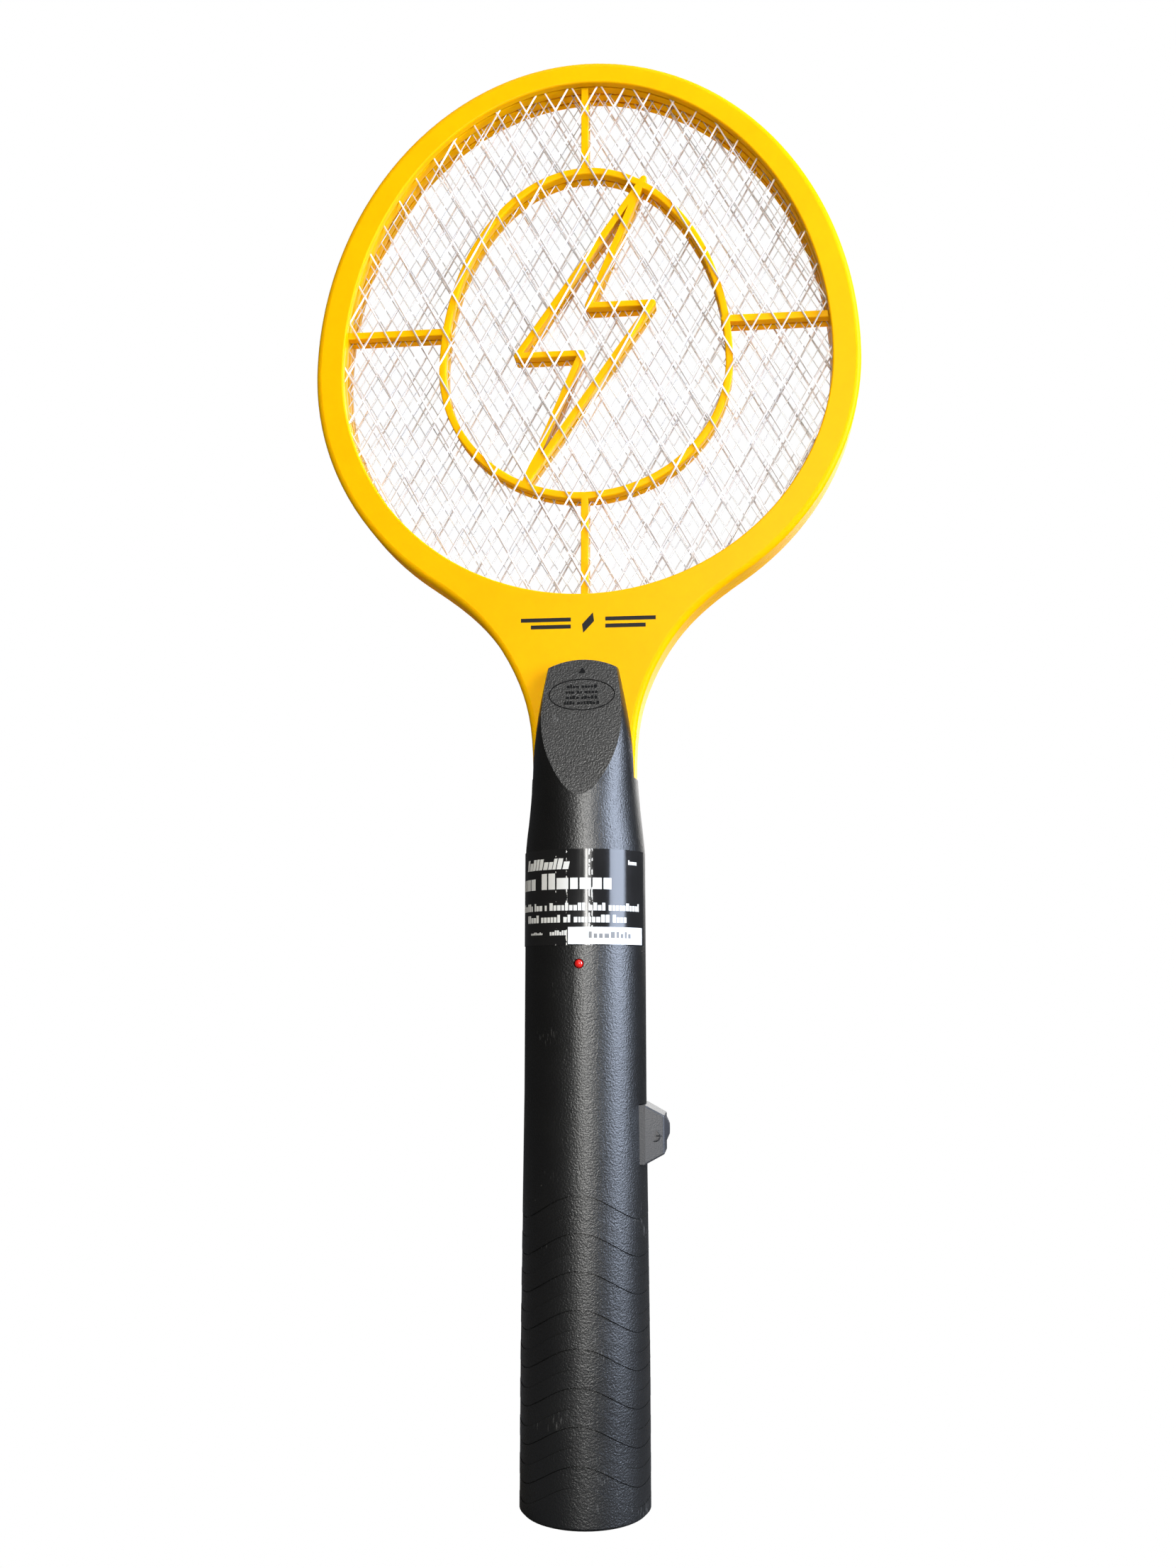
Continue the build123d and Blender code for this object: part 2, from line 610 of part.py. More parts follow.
save(handle_screws(), "handle_screws")


def sticker(bottom_z, top_z, lift, thickness, start_degrees, end_degrees):
    """A thin film wrapped on the barrel. 0 degrees is the front, and it turns towards +X."""
    inner = HANDLE_RADIUS + lift
    strip = Pos(inner + thickness / 2, (bottom_z + top_z) / 2) * Rectangle(thickness, top_z - bottom_z)
    film = revolve(Plane.XZ * strip, axis=Axis.Z, revolution_arc=end_degrees - start_degrees)
    return Rot(0, 0, start_degrees - 90) * film


save(sticker(LABEL_BOTTOM_Z, LABEL_TOP_Z, 0.03, LABEL_THICKNESS, -130, 77), "information_label")
save(sticker(LABEL_BOTTOM_Z + 0.3, LABEL_BOTTOM_Z + 5.9, 0.2, 0.1, -10, 71), "serial_sticker")


# ======================================================================================
# Push button and switch
# ======================================================================================

def push_button():
    """Hollow push button: a straight skirt in the casing slot, a tapered cap and retaining lugs."""
    low_z = BUTTON_Z - BUTTON_LENGTH / 2
    high_z = BUTTON_Z + BUTTON_LENGTH / 2
    skirt_x = 15.2
    skirt = block(skirt_x, BUTTON_SHOULDER_X, -BUTTON_HALF_WIDTH, BUTTON_HALF_WIDTH, low_z, high_z)
    base = Plane(origin=(BUTTON_SHOULDER_X, 0, BUTTON_Z), x_dir=(0, 1, 0), z_dir=(1, 0, 0))
    face = Plane(origin=(BUTTON_FACE_X, 0, BUTTON_Z), x_dir=(0, 1, 0), z_dir=(1, 0, 0))
    foot = base * RectangleRounded(2 * BUTTON_HALF_WIDTH, BUTTON_LENGTH, 0.6)
    top = face * RectangleRounded(2 * BUTTON_TOP_HALF_WIDTH, BUTTON_TOP_LENGTH, 0.6)
    cap = loft([foot, top], ruled=True)
    cap = fillet(cap.faces().sort_by(Axis.X)[-1].edges(), 0.7)
    nub_foot = Plane(origin=(BUTTON_FACE_X, 0, THUMB_NUB_Z), z_dir=(1, 0, 0))
    nub_rise = (Align.CENTER, Align.CENTER, Align.MIN)
    nub = nub_foot * Cone(THUMB_NUB_RADIUS, THUMB_NUB_TOP, THUMB_NUB_HEIGHT, align=nub_rise)
    button = cap + skirt + nub
    inside = BUTTON_WALL
    button -= block(
        skirt_x - 1, BUTTON_SHOULDER_X + 0.5,
        -BUTTON_HALF_WIDTH + inside, BUTTON_HALF_WIDTH - inside,
        low_z + inside, high_z - inside,
    )
    button -= block(
        BUTTON_SHOULDER_X, BUTTON_FACE_X - 2.0,
        -BUTTON_TOP_HALF_WIDTH + inside, BUTTON_TOP_HALF_WIDTH - inside,
        BUTTON_Z - BUTTON_TOP_LENGTH / 2 + 0.6, BUTTON_Z + BUTTON_TOP_LENGTH / 2 - 0.6,
    )
    button -= block(skirt_x - 1, 18.2, -6.6, 6.6, low_z - 1, high_z + 1)
    for y0, y1 in ((-8.3, -7.0), (7.0, 8.3)):
        for z0, z1 in ((low_z - 1.3, low_z + 0.6), (high_z - 0.6, high_z + 1.3)):
            button += block(skirt_x, 16.1, y0, y1, z0, z1)
    button += rod_x(0, BUTTON_Z, 22.5, BUTTON_FACE_X - 1.5, 2.2)
    return button


save(push_button(), "push_button")

switch_board = block(SWITCH_BOARD_X, SWITCH_BOARD_X + SWITCH_BOARD_THICKNESS, -5, 5, 102.4, 131.9)
save(switch_board, "switch_board")


def switch_body():
    """Square tact switch with a bore for its plunger."""
    low_x = SWITCH_BOARD_X + SWITCH_BOARD_THICKNESS
    body = block(low_x, SWITCH_FACE_X, -3, 3, BUTTON_Z - 3, BUTTON_Z + 3)
    body = fillet(body.edges().filter_by(Axis.X), 0.5)
    return body - rod_x(0, BUTTON_Z, low_x + 0.8, SWITCH_FACE_X + 1, 1.75)


save(switch_body(), "switch_body")
save(rod_x(0, BUTTON_Z, 19.6, 22.5, 1.7), "switch_plunger")


# ======================================================================================
# Cells and contacts
# ======================================================================================

def cell(bottom_z):
    """A D-size cell: can with rolled ends, and the raised terminal."""
    can = rod_z(CELL_AXIS_X, 0, bottom_z, bottom_z + CELL_LENGTH, CELL_RADIUS)
    can = fillet(can.edges().filter_by(GeomType.CIRCLE), 0.8)
    nub = rod_z(CELL_AXIS_X, 0, bottom_z + CELL_LENGTH - 1, bottom_z + CELL_LENGTH + CELL_NUB_LENGTH, CELL_NUB_RADIUS)
    return can + nub


UPPER_CELL_Z = CELL_BOTTOM_Z + CELL_LENGTH + CELL_NUB_LENGTH
STACK_TOP_Z = UPPER_CELL_Z + CELL_LENGTH + CELL_NUB_LENGTH
save(cell(CELL_BOTTOM_Z), "lower_battery")
save(cell(UPPER_CELL_Z), "upper_battery")


def contact_spring():
    """Coil spring that presses the cells together, stacked as closed rings on a base plate."""
    base = HANDLE_WALL + 0.05
    spring = rod_z(CELL_AXIS_X, 0, base, base + 0.5, 9.0)
    turns = 4
    wire = 0.55
    helix = Pos(CELL_AXIS_X, 0, base + 0.5 + wire) * Helix(
        pitch=(CELL_BOTTOM_Z - base - 0.5 - 2 * wire) / turns,
        height=CELL_BOTTOM_Z - base - 0.55 - 2 * wire,
        radius=7.0,
    )
    coil = sweep(Plane(origin=helix @ 0, z_dir=helix % 0) * Circle(wire), path=helix, is_frenet=True)
    return spring, coil


spring_plate, spring_coil = contact_spring()
save(spring_plate, "spring_plate")
save(spring_coil, "contact_spring")


def top_contact():
    """Bent strip that touches the upper cell's terminal and rises through the cell stop."""
    plate = block(CELL_AXIS_X - 7, CELL_AXIS_X + 7, -11, 5, STACK_TOP_Z + 0.02, STACK_TOP_Z + 0.5)
    return plate


save(top_contact(), "top_contact")


# ======================================================================================
# High-voltage board
# ======================================================================================

def circuit_board():
    """The high-voltage board, with four screw holes."""
    board = block(
        -BOARD_HALF_WIDTH, BOARD_HALF_WIDTH,
        BOARD_FRONT_Y, BOARD_FRONT_Y + BOARD_THICKNESS,
        BOARD_BOTTOM_Z, BOARD_TOP_Z,
    )
    for x, z in board_screw_places():
        board -= rod_y(x, z, 0, 10, 1.2)
    return board


def board_screws():
    """Four small screws that hold the board on its posts."""
    group = []
    for x, z in board_screw_places():
        head = rod_y(x, z, BOARD_FRONT_Y - 1.3, BOARD_FRONT_Y - 0.02, 2.0)
        head -= block(x - 1.4, x + 1.4, BOARD_FRONT_Y - 1.4, BOARD_FRONT_Y - 0.8, z - 0.25, z + 0.25)
        group.append(head + rod_y(x, z, BOARD_FRONT_Y - 0.5, 10.0, 1.0))
    return Compound(children=group)


save(circuit_board(), "circuit_board")
save(board_screws(), "board_screws")

FACE_Y = BOARD_FRONT_Y - 0.02     # components sit on the board's front face


def transformer():
    """Ferrite core with two windows, and the winding on its middle leg."""
    low_z, high_z = 186.0, 202.0
    core = block(-9.5, 9.5, FACE_Y - 13.0, FACE_Y - 3.0, low_z, high_z)
    for side in (-1, 1):
        x0, x1 = sorted((side * 2.8, side * 6.8))
        core -= block(x0, x1, FACE_Y - 20, FACE_Y, low_z + 2.8, high_z - 2.8)
    core -= block(-2.8, 2.8, FACE_Y - 20, FACE_Y - 11.0, low_z + 2.8, high_z - 2.8)
    core -= block(-2.8, 2.8, FACE_Y - 5.0, FACE_Y, low_z + 2.8, high_z - 2.8)
    outside = block(-6.6, 6.6, FACE_Y - 14.2, FACE_Y - 1.6, low_z + 3.0, high_z - 3.0)
    outside = fillet(outside.edges().filter_by(Axis.Z), 2.5)
    winding = outside - block(-2.95, 2.95, FACE_Y - 11.15, FACE_Y - 4.85, low_z, high_z)
    winding += [rod_y(x, z, FACE_Y - 2.0, FACE_Y, 0.4) for x in (-4.0, 4.0) for z in (low_z + 4, high_z - 4)]
    return core, winding


transformer_core, transformer_winding = transformer()
save(transformer_core, "transformer_core")
save(transformer_winding, "transformer_winding")


def film_capacitor(x, z, wide, tall, deep):
    """A dipped film capacitor standing off the board, with its two leads."""
    body = block(x - wide / 2, x + wide / 2, FACE_Y - 1.0 - deep, FACE_Y - 1.0, z - tall / 2, z + tall / 2)
    body = fillet(body.edges(), min(wide, tall, deep) * 0.28)
    for side in (-1, 1):
        body += rod_y(x + side * wide * 0.32, z, FACE_Y - 2.5, FACE_Y, 0.35)
    return body


save(film_capacitor(0, 208.4, 18, 7.5, 9.5), "storage_capacitor")
small_places = ((-9.2, 180.0), (9.2, 180.0), (8.5, 172.5))
save(Compound(children=[film_capacitor(x, z, 7.6, 4.8, 5.5) for x, z in small_places]), "small_capacitors")


def axial_part(x, z, length, radius, reach):
    """A resistor or diode lying on the board: body along X with two bent leads."""
    lead_y = FACE_Y - radius - 0.3
    body = rod_x(lead_y, z, x - length / 2, x + length / 2, radius)
    for side in (-1, 1):
        foot_x = x + side * reach
        route = ((x + side * length / 4, lead_y, z), (foot_x, lead_y, z), (foot_x, FACE_Y, z))
        body += wire_tube(route, 0.7, 0.6)
    return body


diodes = [axial_part(-6.5, 158.8 + 9.6 - 3.2 * k, 4.4, 1.2, 4.2) for k in range(2)]
diodes += [axial_part(4.5, 158.8 + 9.6 - 3.2 * k, 4.4, 1.2, 4.2) for k in range(2)]
save(Compound(children=diodes), "rectifier_diodes")
resistors = [axial_part(-8.5, 172.2, 4.6, 1.0, 4.0), axial_part(-8.5, 175.4, 4.6, 1.0, 4.0)]
resistors.append(axial_part(0.0, 159.2, 4.6, 1.0, 4.0))
save(Compound(children=resistors), "resistors")


def transistor():
    """Power transistor: flat-backed plastic body on three legs."""
    body = block(-3.9, 3.9, FACE_Y - 12.0, FACE_Y - 4.0, 178.2, 181.4)
    body = fillet(body.edges().filter_by(Axis.Y), 0.4)
    for x in (-2.3, 0.0, 2.3):
        body += block(x - 0.35, x + 0.35, FACE_Y - 4.5, FACE_Y, 179.5, 180.0)
    return body


save(transistor(), "transistor")


def indicator_lamp():
    """Three-millimetre red lamp with its collar, and the long leads that carry it."""
    tip_y = -HANDLE_RADIUS - 0.35
    lamp = rod_y(0, LAMP_Z, tip_y + LAMP_RADIUS, tip_y + 5.3, LAMP_RADIUS)
    lamp += Pos(0, tip_y + LAMP_RADIUS, LAMP_Z) * Sphere(LAMP_RADIUS)
    lamp += rod_y(0, LAMP_Z, tip_y + 4.3, tip_y + 5.3, 1.9)
    back = tip_y + 5.32
    leads = [block(x - 0.25, x + 0.25, back, FACE_Y, LAMP_Z - 0.25, LAMP_Z + 0.25) for x in (-1.27, 1.27)]
    return lamp, Compound(children=leads)


indicator_lamp_body, lamp_leads = indicator_lamp()
save(indicator_lamp_body, "indicator_lamp")
save(lamp_leads, "lamp_leads")


# ======================================================================================
# Internal wires, all held inside the handle and the neck
# ======================================================================================

GRID_WIRE = 1.2
CELL_WIRE = 1.2
SWITCH_WIRE = 1.1
WIRE_END_Z = HEAD_CENTRE_Z - OPENING_DROP - GRID_OVERLAP


def live_wire():
    """From the top of the board through the neck to the live grid."""
    return wire_tube(
        [(-4.4, 2.35, 218.4), (-4.4, 2.35, 229), (-4.4, 0, 243), (-4.4, 0, 261), (0, 0, 276), (0, 0, WIRE_END_Z - 0.1)],
        [20, 20, 12, 12], GRID_WIRE,
    )


def guard_wires():
    """The two return wires, one to each guard grid."""
    front = wire_tube(
        [(5.2, 2.35, 218.4), (5.2, 2.35, 229), (5.6, -3.5, 248), (6, -3.55, 272), (6, -3.55, WIRE_END_Z + 1)],
        [14, 14, 30], GRID_WIRE,
    )
    rear = wire_tube(
        [(-6.4, 2.35, 218.4), (-6.4, 2.35, 236), (-6.1, 3.55, 256), (-6, 3.55, 274), (-6, 3.55, WIRE_END_Z + 1)],
        [14, 30, 30], GRID_WIRE,
    )
    return Compound(children=[front, rear])


def battery_wires():
    """From the top contact and from the spring plate to the bottom of the board."""
    positive = wire_tube(
        [(-6, -1.6, STACK_TOP_Z + 0.6), (-6, -1.6, 147), (-6, 2.35, 153), (-6, 2.35, 158)],
        [3, 3], CELL_WIRE,
    )
    negative = wire_tube(
        [(3.0, -7.3, 3.4), (NEGATIVE_WIRE_X, NEGATIVE_WIRE_Y, 3.4), (NEGATIVE_WIRE_X, NEGATIVE_WIRE_Y, 141),
         (6, -2, 150), (6, 2.35, 158)],
        [4, 5, 4], CELL_WIRE,
    )
    return Compound(children=[positive, negative])


def switch_wires():
    """From the top edge of the switch board to the high-voltage board."""
    low = wire_tube([(16.2, -1.3, 132), (16.2, -1.3, 151), (12.4, 2.4, 156.5), (12.4, 2.4, 160)], [3, 2], SWITCH_WIRE)
    high = wire_tube([(16.2, -3.3, 132), (16.2, -3.3, 156), (12.4, 2.4, 163), (12.4, 2.4, 167)], [4, 3], SWITCH_WIRE)
    return Compound(children=[low, high])


save(live_wire(), "live_wire")
save(guard_wires(), "guard_wires")
save(battery_wires(), "battery_wires")
save(switch_wires(), "switch_wires")
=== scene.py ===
import math
import random

import bmesh
import bpy
from mathutils import Matrix, Vector


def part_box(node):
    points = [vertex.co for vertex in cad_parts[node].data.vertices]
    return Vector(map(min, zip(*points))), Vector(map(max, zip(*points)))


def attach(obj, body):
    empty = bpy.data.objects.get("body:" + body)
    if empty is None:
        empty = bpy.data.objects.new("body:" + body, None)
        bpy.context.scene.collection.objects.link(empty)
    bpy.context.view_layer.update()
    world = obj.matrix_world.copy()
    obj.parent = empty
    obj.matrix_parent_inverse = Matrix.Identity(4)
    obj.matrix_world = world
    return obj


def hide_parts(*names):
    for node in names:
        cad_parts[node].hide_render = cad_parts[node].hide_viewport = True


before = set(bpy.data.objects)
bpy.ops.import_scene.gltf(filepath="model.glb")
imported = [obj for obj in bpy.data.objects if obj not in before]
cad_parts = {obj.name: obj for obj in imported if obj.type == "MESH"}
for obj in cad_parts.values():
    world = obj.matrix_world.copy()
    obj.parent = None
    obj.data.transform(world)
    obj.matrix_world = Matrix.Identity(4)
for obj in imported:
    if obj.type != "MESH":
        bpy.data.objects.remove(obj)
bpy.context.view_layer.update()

# An electric fly swatter in metres: +Z runs up the handle from its flat base, the front with the
# lamp looks towards -Y, and the push button is on the +X side.
MM = 0.001

# --------------------------------------------------------------------------------------
# Studio
# A seamless white table under soft light, and a dim room all round for the plastic and the
# steel to mirror. None of this belongs to the swatter.
# --------------------------------------------------------------------------------------
room = bpy.data.worlds.new("studio_room")
room.use_nodes = True
room_nodes, room_links = room.node_tree.nodes, room.node_tree.links
room_nodes.clear()
room_output = room_nodes.new("ShaderNodeOutputWorld")
room_mix = room_nodes.new("ShaderNodeMixShader")
room_ray = room_nodes.new("ShaderNodeLightPath")
room_dim = room_nodes.new("ShaderNodeBackground")
room_dim.inputs["Color"].default_value = (0.93, 0.95, 1.0, 1.0)
room_dim.inputs["Strength"].default_value = 0.06
room_white = room_nodes.new("ShaderNodeBackground")
room_white.inputs["Color"].default_value = (1.0, 1.0, 1.0, 1.0)
room_white.inputs["Strength"].default_value = 1.0
room_links.new(room_ray.outputs["Is Camera Ray"], room_mix.inputs["Fac"])
room_links.new(room_dim.outputs["Background"], room_mix.inputs[1])
room_links.new(room_white.outputs["Background"], room_mix.inputs[2])
room_links.new(room_mix.outputs["Shader"], room_output.inputs["Surface"])
bpy.context.scene.world = room
bpy.context.scene.view_settings.view_transform = "Standard"


def area_light(name, place, target, width, height, watts, colour):
    """A soft light of that size, turned towards its target."""
    light = bpy.data.lights.new(name, "AREA")
    light.shape = "RECTANGLE"
    light.size = width
    light.size_y = height
    light.energy = watts
    light.color = colour
    holder = bpy.data.objects.new(name, light)
    bpy.context.scene.collection.objects.link(holder)
    holder.location = place
    holder.rotation_euler = (Vector(target) - Vector(place)).to_track_quat("-Z", "Y").to_euler()
    return holder


middle = (0.0, 0.0, 0.27)
area_light("front_fill", (0.15, -1.5, 1.7), middle, 0.9, 0.6, 1.0, (1.0, 0.98, 0.94))
area_light("front_strip", (0.20, -1.50, 0.36), middle, 0.24, 1.25, 27.0, (1.0, 0.99, 0.96))
area_light("window", (1.30, -0.48, 0.62), middle, 0.85, 1.6, 62.0, (0.70, 0.80, 1.0))
area_light("top_light", (0.0, -0.3, 1.7), middle, 1.2, 1.2, 5.0, (1.0, 1.0, 1.0))
area_light("rear_fill", (0.35, 1.7, 0.9), middle, 1.2, 1.2, 12.0, (1.0, 0.99, 0.97))

warm_bounce = area_light("warm_bounce", (0.0, 0.3, 0.03), (0.0, 0.0, 0.48), 0.6, 0.3, 3.0, (1.0, 0.72, 0.46))
warm_bounce.visible_glossy = False

table_mesh = bmesh.new()
bmesh.ops.create_grid(table_mesh, x_segments=2, y_segments=2, size=12.0)
table_data = bpy.data.meshes.new("table_top")
table_mesh.to_mesh(table_data)
table_mesh.free()
table_top = bpy.data.objects.new("table_top", table_data)
bpy.context.scene.collection.objects.link(table_top)
table_paint = bpy.data.materials.new("white_table")
table_paint.use_nodes = True
table_nodes, table_links = table_paint.node_tree.nodes, table_paint.node_tree.links
table_shader = table_nodes["Principled BSDF"]
table_shader.inputs["Base Color"].default_value = (0.10, 0.10, 0.10, 1.0)
table_shader.inputs["Roughness"].default_value = 0.9
table_shader.inputs["Specular IOR Level"].default_value = 0.1
table_ray = table_nodes.new("ShaderNodeLightPath")
table_glow = table_nodes.new("ShaderNodeEmission")
table_mix = table_nodes.new("ShaderNodeMixShader")
table_links.new(table_ray.outputs["Is Camera Ray"], table_mix.inputs["Fac"])
table_links.new(table_shader.outputs["BSDF"], table_mix.inputs[1])
table_links.new(table_glow.outputs["Emission"], table_mix.inputs[2])
table_links.new(table_mix.outputs["Shader"], table_nodes["Material Output"].inputs["Surface"])
table_data.materials.append(table_paint)

# The camera stands close in front, a few degrees round towards the button, and looks up a little.
CAMERA_DISTANCE = 0.486
CAMERA_HEIGHT = 0.167
CAMERA_AZIMUTH = math.radians(6.0)
CAMERA_TILT = math.radians(8.08)
CAMERA_SIDE = 0.00085
camera_data = bpy.data.cameras.new("camera")
camera_data.sensor_width = 36.0
camera_data.lens = 32.55
camera_data.clip_start = 0.01
camera = bpy.data.objects.new("camera", camera_data)
bpy.context.scene.collection.objects.link(camera)
side = Vector((math.cos(CAMERA_AZIMUTH), math.sin(CAMERA_AZIMUTH), 0.0))
away = Vector((math.sin(CAMERA_AZIMUTH), -math.cos(CAMERA_AZIMUTH), 0.0))
camera.location = away * CAMERA_DISTANCE + side * CAMERA_SIDE + Vector((0.0, 0.0, CAMERA_HEIGHT))
camera.rotation_euler = (math.pi / 2 + CAMERA_TILT, 0.0, CAMERA_AZIMUTH)
bpy.context.scene.camera = camera


# --------------------------------------------------------------------------------------
# Racket frame
# Two glossy yellow ABS mouldings that meet in the middle of the depth: rounded rim, flat lip
# round the opening and the neck that runs down into the handle.
# --------------------------------------------------------------------------------------
def finish(name, colour, roughness, metallic=0.0, grain=0.4, relief=0.01, spread=0.08, specular=0.5):
    """A moulded, rolled or painted finish. Grain is the size of its texture in millimetres, relief
    the texture's height in millimetres, and spread how far colour and gloss wander."""
    material = bpy.data.materials.new(name)
    material.use_nodes = True
    nodes, links = material.node_tree.nodes, material.node_tree.links
    shader = nodes["Principled BSDF"]
    shader.inputs["Metallic"].default_value = metallic
    shader.inputs["Specular IOR Level"].default_value = specular
    place = nodes.new("ShaderNodeTexCoord")
    clouds = nodes.new("ShaderNodeTexNoise")
    clouds.inputs["Scale"].default_value = 1 / (18 * MM)
    clouds.inputs["Detail"].default_value = 4.0
    links.new(place.outputs["Object"], clouds.inputs["Vector"])
    ramp = nodes.new("ShaderNodeValToRGB")
    ramp.color_ramp.elements[0].position = 0.3
    ramp.color_ramp.elements[1].position = 0.7
    ramp.color_ramp.elements[0].color = [c * (1 - spread) for c in colour] + [1.0]
    ramp.color_ramp.elements[1].color = [min(1.0, c * (1 + spread)) for c in colour] + [1.0]
    links.new(clouds.outputs["Fac"], ramp.inputs["Fac"])
    links.new(ramp.outputs["Color"], shader.inputs["Base Color"])
    gloss = nodes.new("ShaderNodeMapRange")
    gloss.inputs["To Min"].default_value = roughness * (1 - spread)
    gloss.inputs["To Max"].default_value = roughness * (1 + spread)
    links.new(clouds.outputs["Fac"], gloss.inputs["Value"])
    links.new(gloss.outputs["Result"], shader.inputs["Roughness"])
    texture = nodes.new("ShaderNodeTexNoise")
    texture.inputs["Scale"].default_value = 1 / (grain * MM)
    texture.inputs["Detail"].default_value = 2.0
    links.new(place.outputs["Object"], texture.inputs["Vector"])
    bump = nodes.new("ShaderNodeBump")
    bump.inputs["Distance"].default_value = relief * MM
    links.new(texture.outputs["Fac"], bump.inputs["Height"])
    links.new(bump.outputs["Normal"], shader.inputs["Normal"])
    return material


def wear(node, material):
    """Puts a finish on a CAD node."""
    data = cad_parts[node].data
    data.materials.clear()
    data.materials.append(material)


yellow = finish(
    "yellow_plastic", (0.80, 0.395, 0.0), 0.36, grain=2.4, relief=0.012, spread=0.03, specular=0.04)
yellow_shader = yellow.node_tree.nodes["Principled BSDF"]
yellow_shader.inputs["Subsurface Weight"].default_value = 0.3
yellow_shader.inputs["Subsurface Radius"].default_value = (1.0, 0.3, 0.01)
yellow_shader.inputs["Subsurface Scale"].default_value = 2.5 * MM
wear("front_frame", yellow)
wear("rear_frame", yellow)


def keep(mesh, name, material, body="swatter", smooth_degrees=None):
    """Turns a finished bmesh into a named piece that rides on a body."""
    data = bpy.data.meshes.new(name)
    mesh.to_mesh(data)
    mesh.free()
    if smooth_degrees is not None:
        data.polygons.foreach_set("use_smooth", [True] * len(data.polygons))
        data.set_sharp_from_angle(angle=math.radians(smooth_degrees))
    data.materials.append(material)
    piece = bpy.data.objects.new(name, data)
    bpy.context.scene.collection.objects.link(piece)
    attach(piece, body)
    return piece


# --------------------------------------------------------------------------------------
# Frame screws
# Seven small zinc-plated self-tapping screws, driven from the back, hold the halves together.
# --------------------------------------------------------------------------------------
screw_steel = finish("screw_steel", (0.42, 0.42, 0.43), 0.34, 1.0, 0.5, 0.006, 0.12)
wear("frame_screws", screw_steel)

# --------------------------------------------------------------------------------------
# Guard grids
# Two coarse sheets of expanded steel, slit and stretched into diamonds. Each is cut to the egg
# shape of the opening and clamped between the lip and a spacer.
# --------------------------------------------------------------------------------------
grid_steel = finish("grid_steel", (0.80, 0.74, 0.71), 0.4, 0.3, 0.6, 0.02, 0.10)
# Painted shade: the live grid's steel is darker than the guards' steel, standing for the shade it lies in
# between them.
fine_steel_painted_shade = finish("fine_steel_painted_shade", (0.60, 0.58, 0.56), 0.4, 0.4, 0.6, 0.02, 0.15)
lowest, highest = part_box("front_guard_grid")
GRID_CENTRE_Z = 0.3873
grid_half_width = highest.x - 0.4 * MM
grid_rise = highest.z - GRID_CENTRE_Z - 0.4 * MM
grid_drop = GRID_CENTRE_Z - lowest.z - 0.4 * MM
CUTS = 56


def expanded_sheet(name, node, material, pitch_x, pitch_z, width, thickness, twist_degrees, knuckle):
    """A sheet of slit and stretched strands, cut to the shape of the opening."""
    low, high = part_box(node)
    sheet_y = (low.y + high.y) / 2
    cell = bmesh.new()
    length = math.hypot(pitch_x, pitch_z) / 2
    lean = math.atan2(pitch_x, pitch_z)
    for turn in (lean, -lean, math.pi - lean, lean - math.pi):
        spin_it = Matrix.Rotation(turn, 4, "Y")
        twist = Matrix.Rotation(math.radians(twist_degrees), 4, "Z")
        size = Matrix.Diagonal((width / 2, thickness / 2, 1.0, 1.0))
        centre = Matrix.Translation(spin_it @ Vector((0.0, 0.0, length / 2)))
        bmesh.ops.create_cone(
            cell, cap_ends=True, cap_tris=False, segments=6, radius1=1.0, radius2=1.0,
            depth=length * 1.03, matrix=centre @ spin_it @ twist @ size,
        )
    for x, z in ((0.0, 0.0), (pitch_x / 2, pitch_z / 2)):
        size = Matrix.Diagonal((width * 0.75, thickness * 0.62, knuckle / 2, 1.0))
        bmesh.ops.create_icosphere(
            cell, subdivisions=1, radius=1.0, matrix=Matrix.Translation((x, 0.0, z)) @ size)
    columns = math.ceil(grid_half_width / pitch_x)
    rows_up = math.ceil(grid_rise / pitch_z)
    rows_down = math.ceil(grid_drop / pitch_z)
    sheet = bmesh.new()
    unit = bpy.data.meshes.new(name)
    cell.to_mesh(unit)
    cell.free()
    for column in range(-columns, columns + 1):
        reach = abs(column * pitch_x) / (grid_half_width + pitch_x)
        for row in range(-rows_down, rows_up + 1):
            tall = grid_rise if row > 0 else grid_drop
            if math.hypot(reach, row * pitch_z / (tall + pitch_z)) > 1.02:
                continue
            first = len(sheet.verts)
            sheet.from_mesh(unit)
            step = Vector((column * pitch_x, sheet_y, GRID_CENTRE_Z + row * pitch_z))
            bmesh.ops.translate(sheet, verts=sheet.verts[first:], vec=step)
    bpy.data.meshes.remove(unit)
    for cut in range(CUTS):
        angle = 2 * math.pi * (cut + 0.5) / CUTS
        rise = grid_rise if math.sin(angle) > 0 else grid_drop
        edge = Vector((grid_half_width * math.cos(angle), sheet_y, GRID_CENTRE_Z + rise * math.sin(angle)))
        outwards = Vector((math.cos(angle) / grid_half_width, 0.0, math.sin(angle) / rise))
        everything = sheet.verts[:] + sheet.edges[:] + sheet.faces[:]
        bmesh.ops.bisect_plane(
            sheet, geom=everything, plane_co=edge, plane_no=outwards.normalized(), clear_outer=True)
    open_edges = [e for e in sheet.edges if e.is_boundary]
    bmesh.ops.holes_fill(sheet, edges=open_edges, sides=0)
    piece = keep(sheet, name, material, "swatter", 50)
    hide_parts(node)
    return piece


for side_name, twist_degrees in (("front", 24), ("rear", -24)):
    expanded_sheet(
        f"{side_name}_guard_mesh", f"{side_name}_guard_grid", grid_steel,
        10.8 * MM, 19.8 * MM, 0.66 * MM, 0.5 * MM, twist_degrees, 2.0 * MM,
    )

# --------------------------------------------------------------------------------------
# Live grid
# The middle sheet that carries the high voltage: the same expanded steel with a finer slit, held
# between the two spacers so that it touches neither guard. Its steel is darker than the guards' as
# painted shade.
# --------------------------------------------------------------------------------------
expanded_sheet(
    "live_mesh", "live_grid", fine_steel_painted_shade,
    4.5 * MM, 7.6 * MM, 0.42 * MM, 0.34 * MM, 20, 0.9 * MM,
)

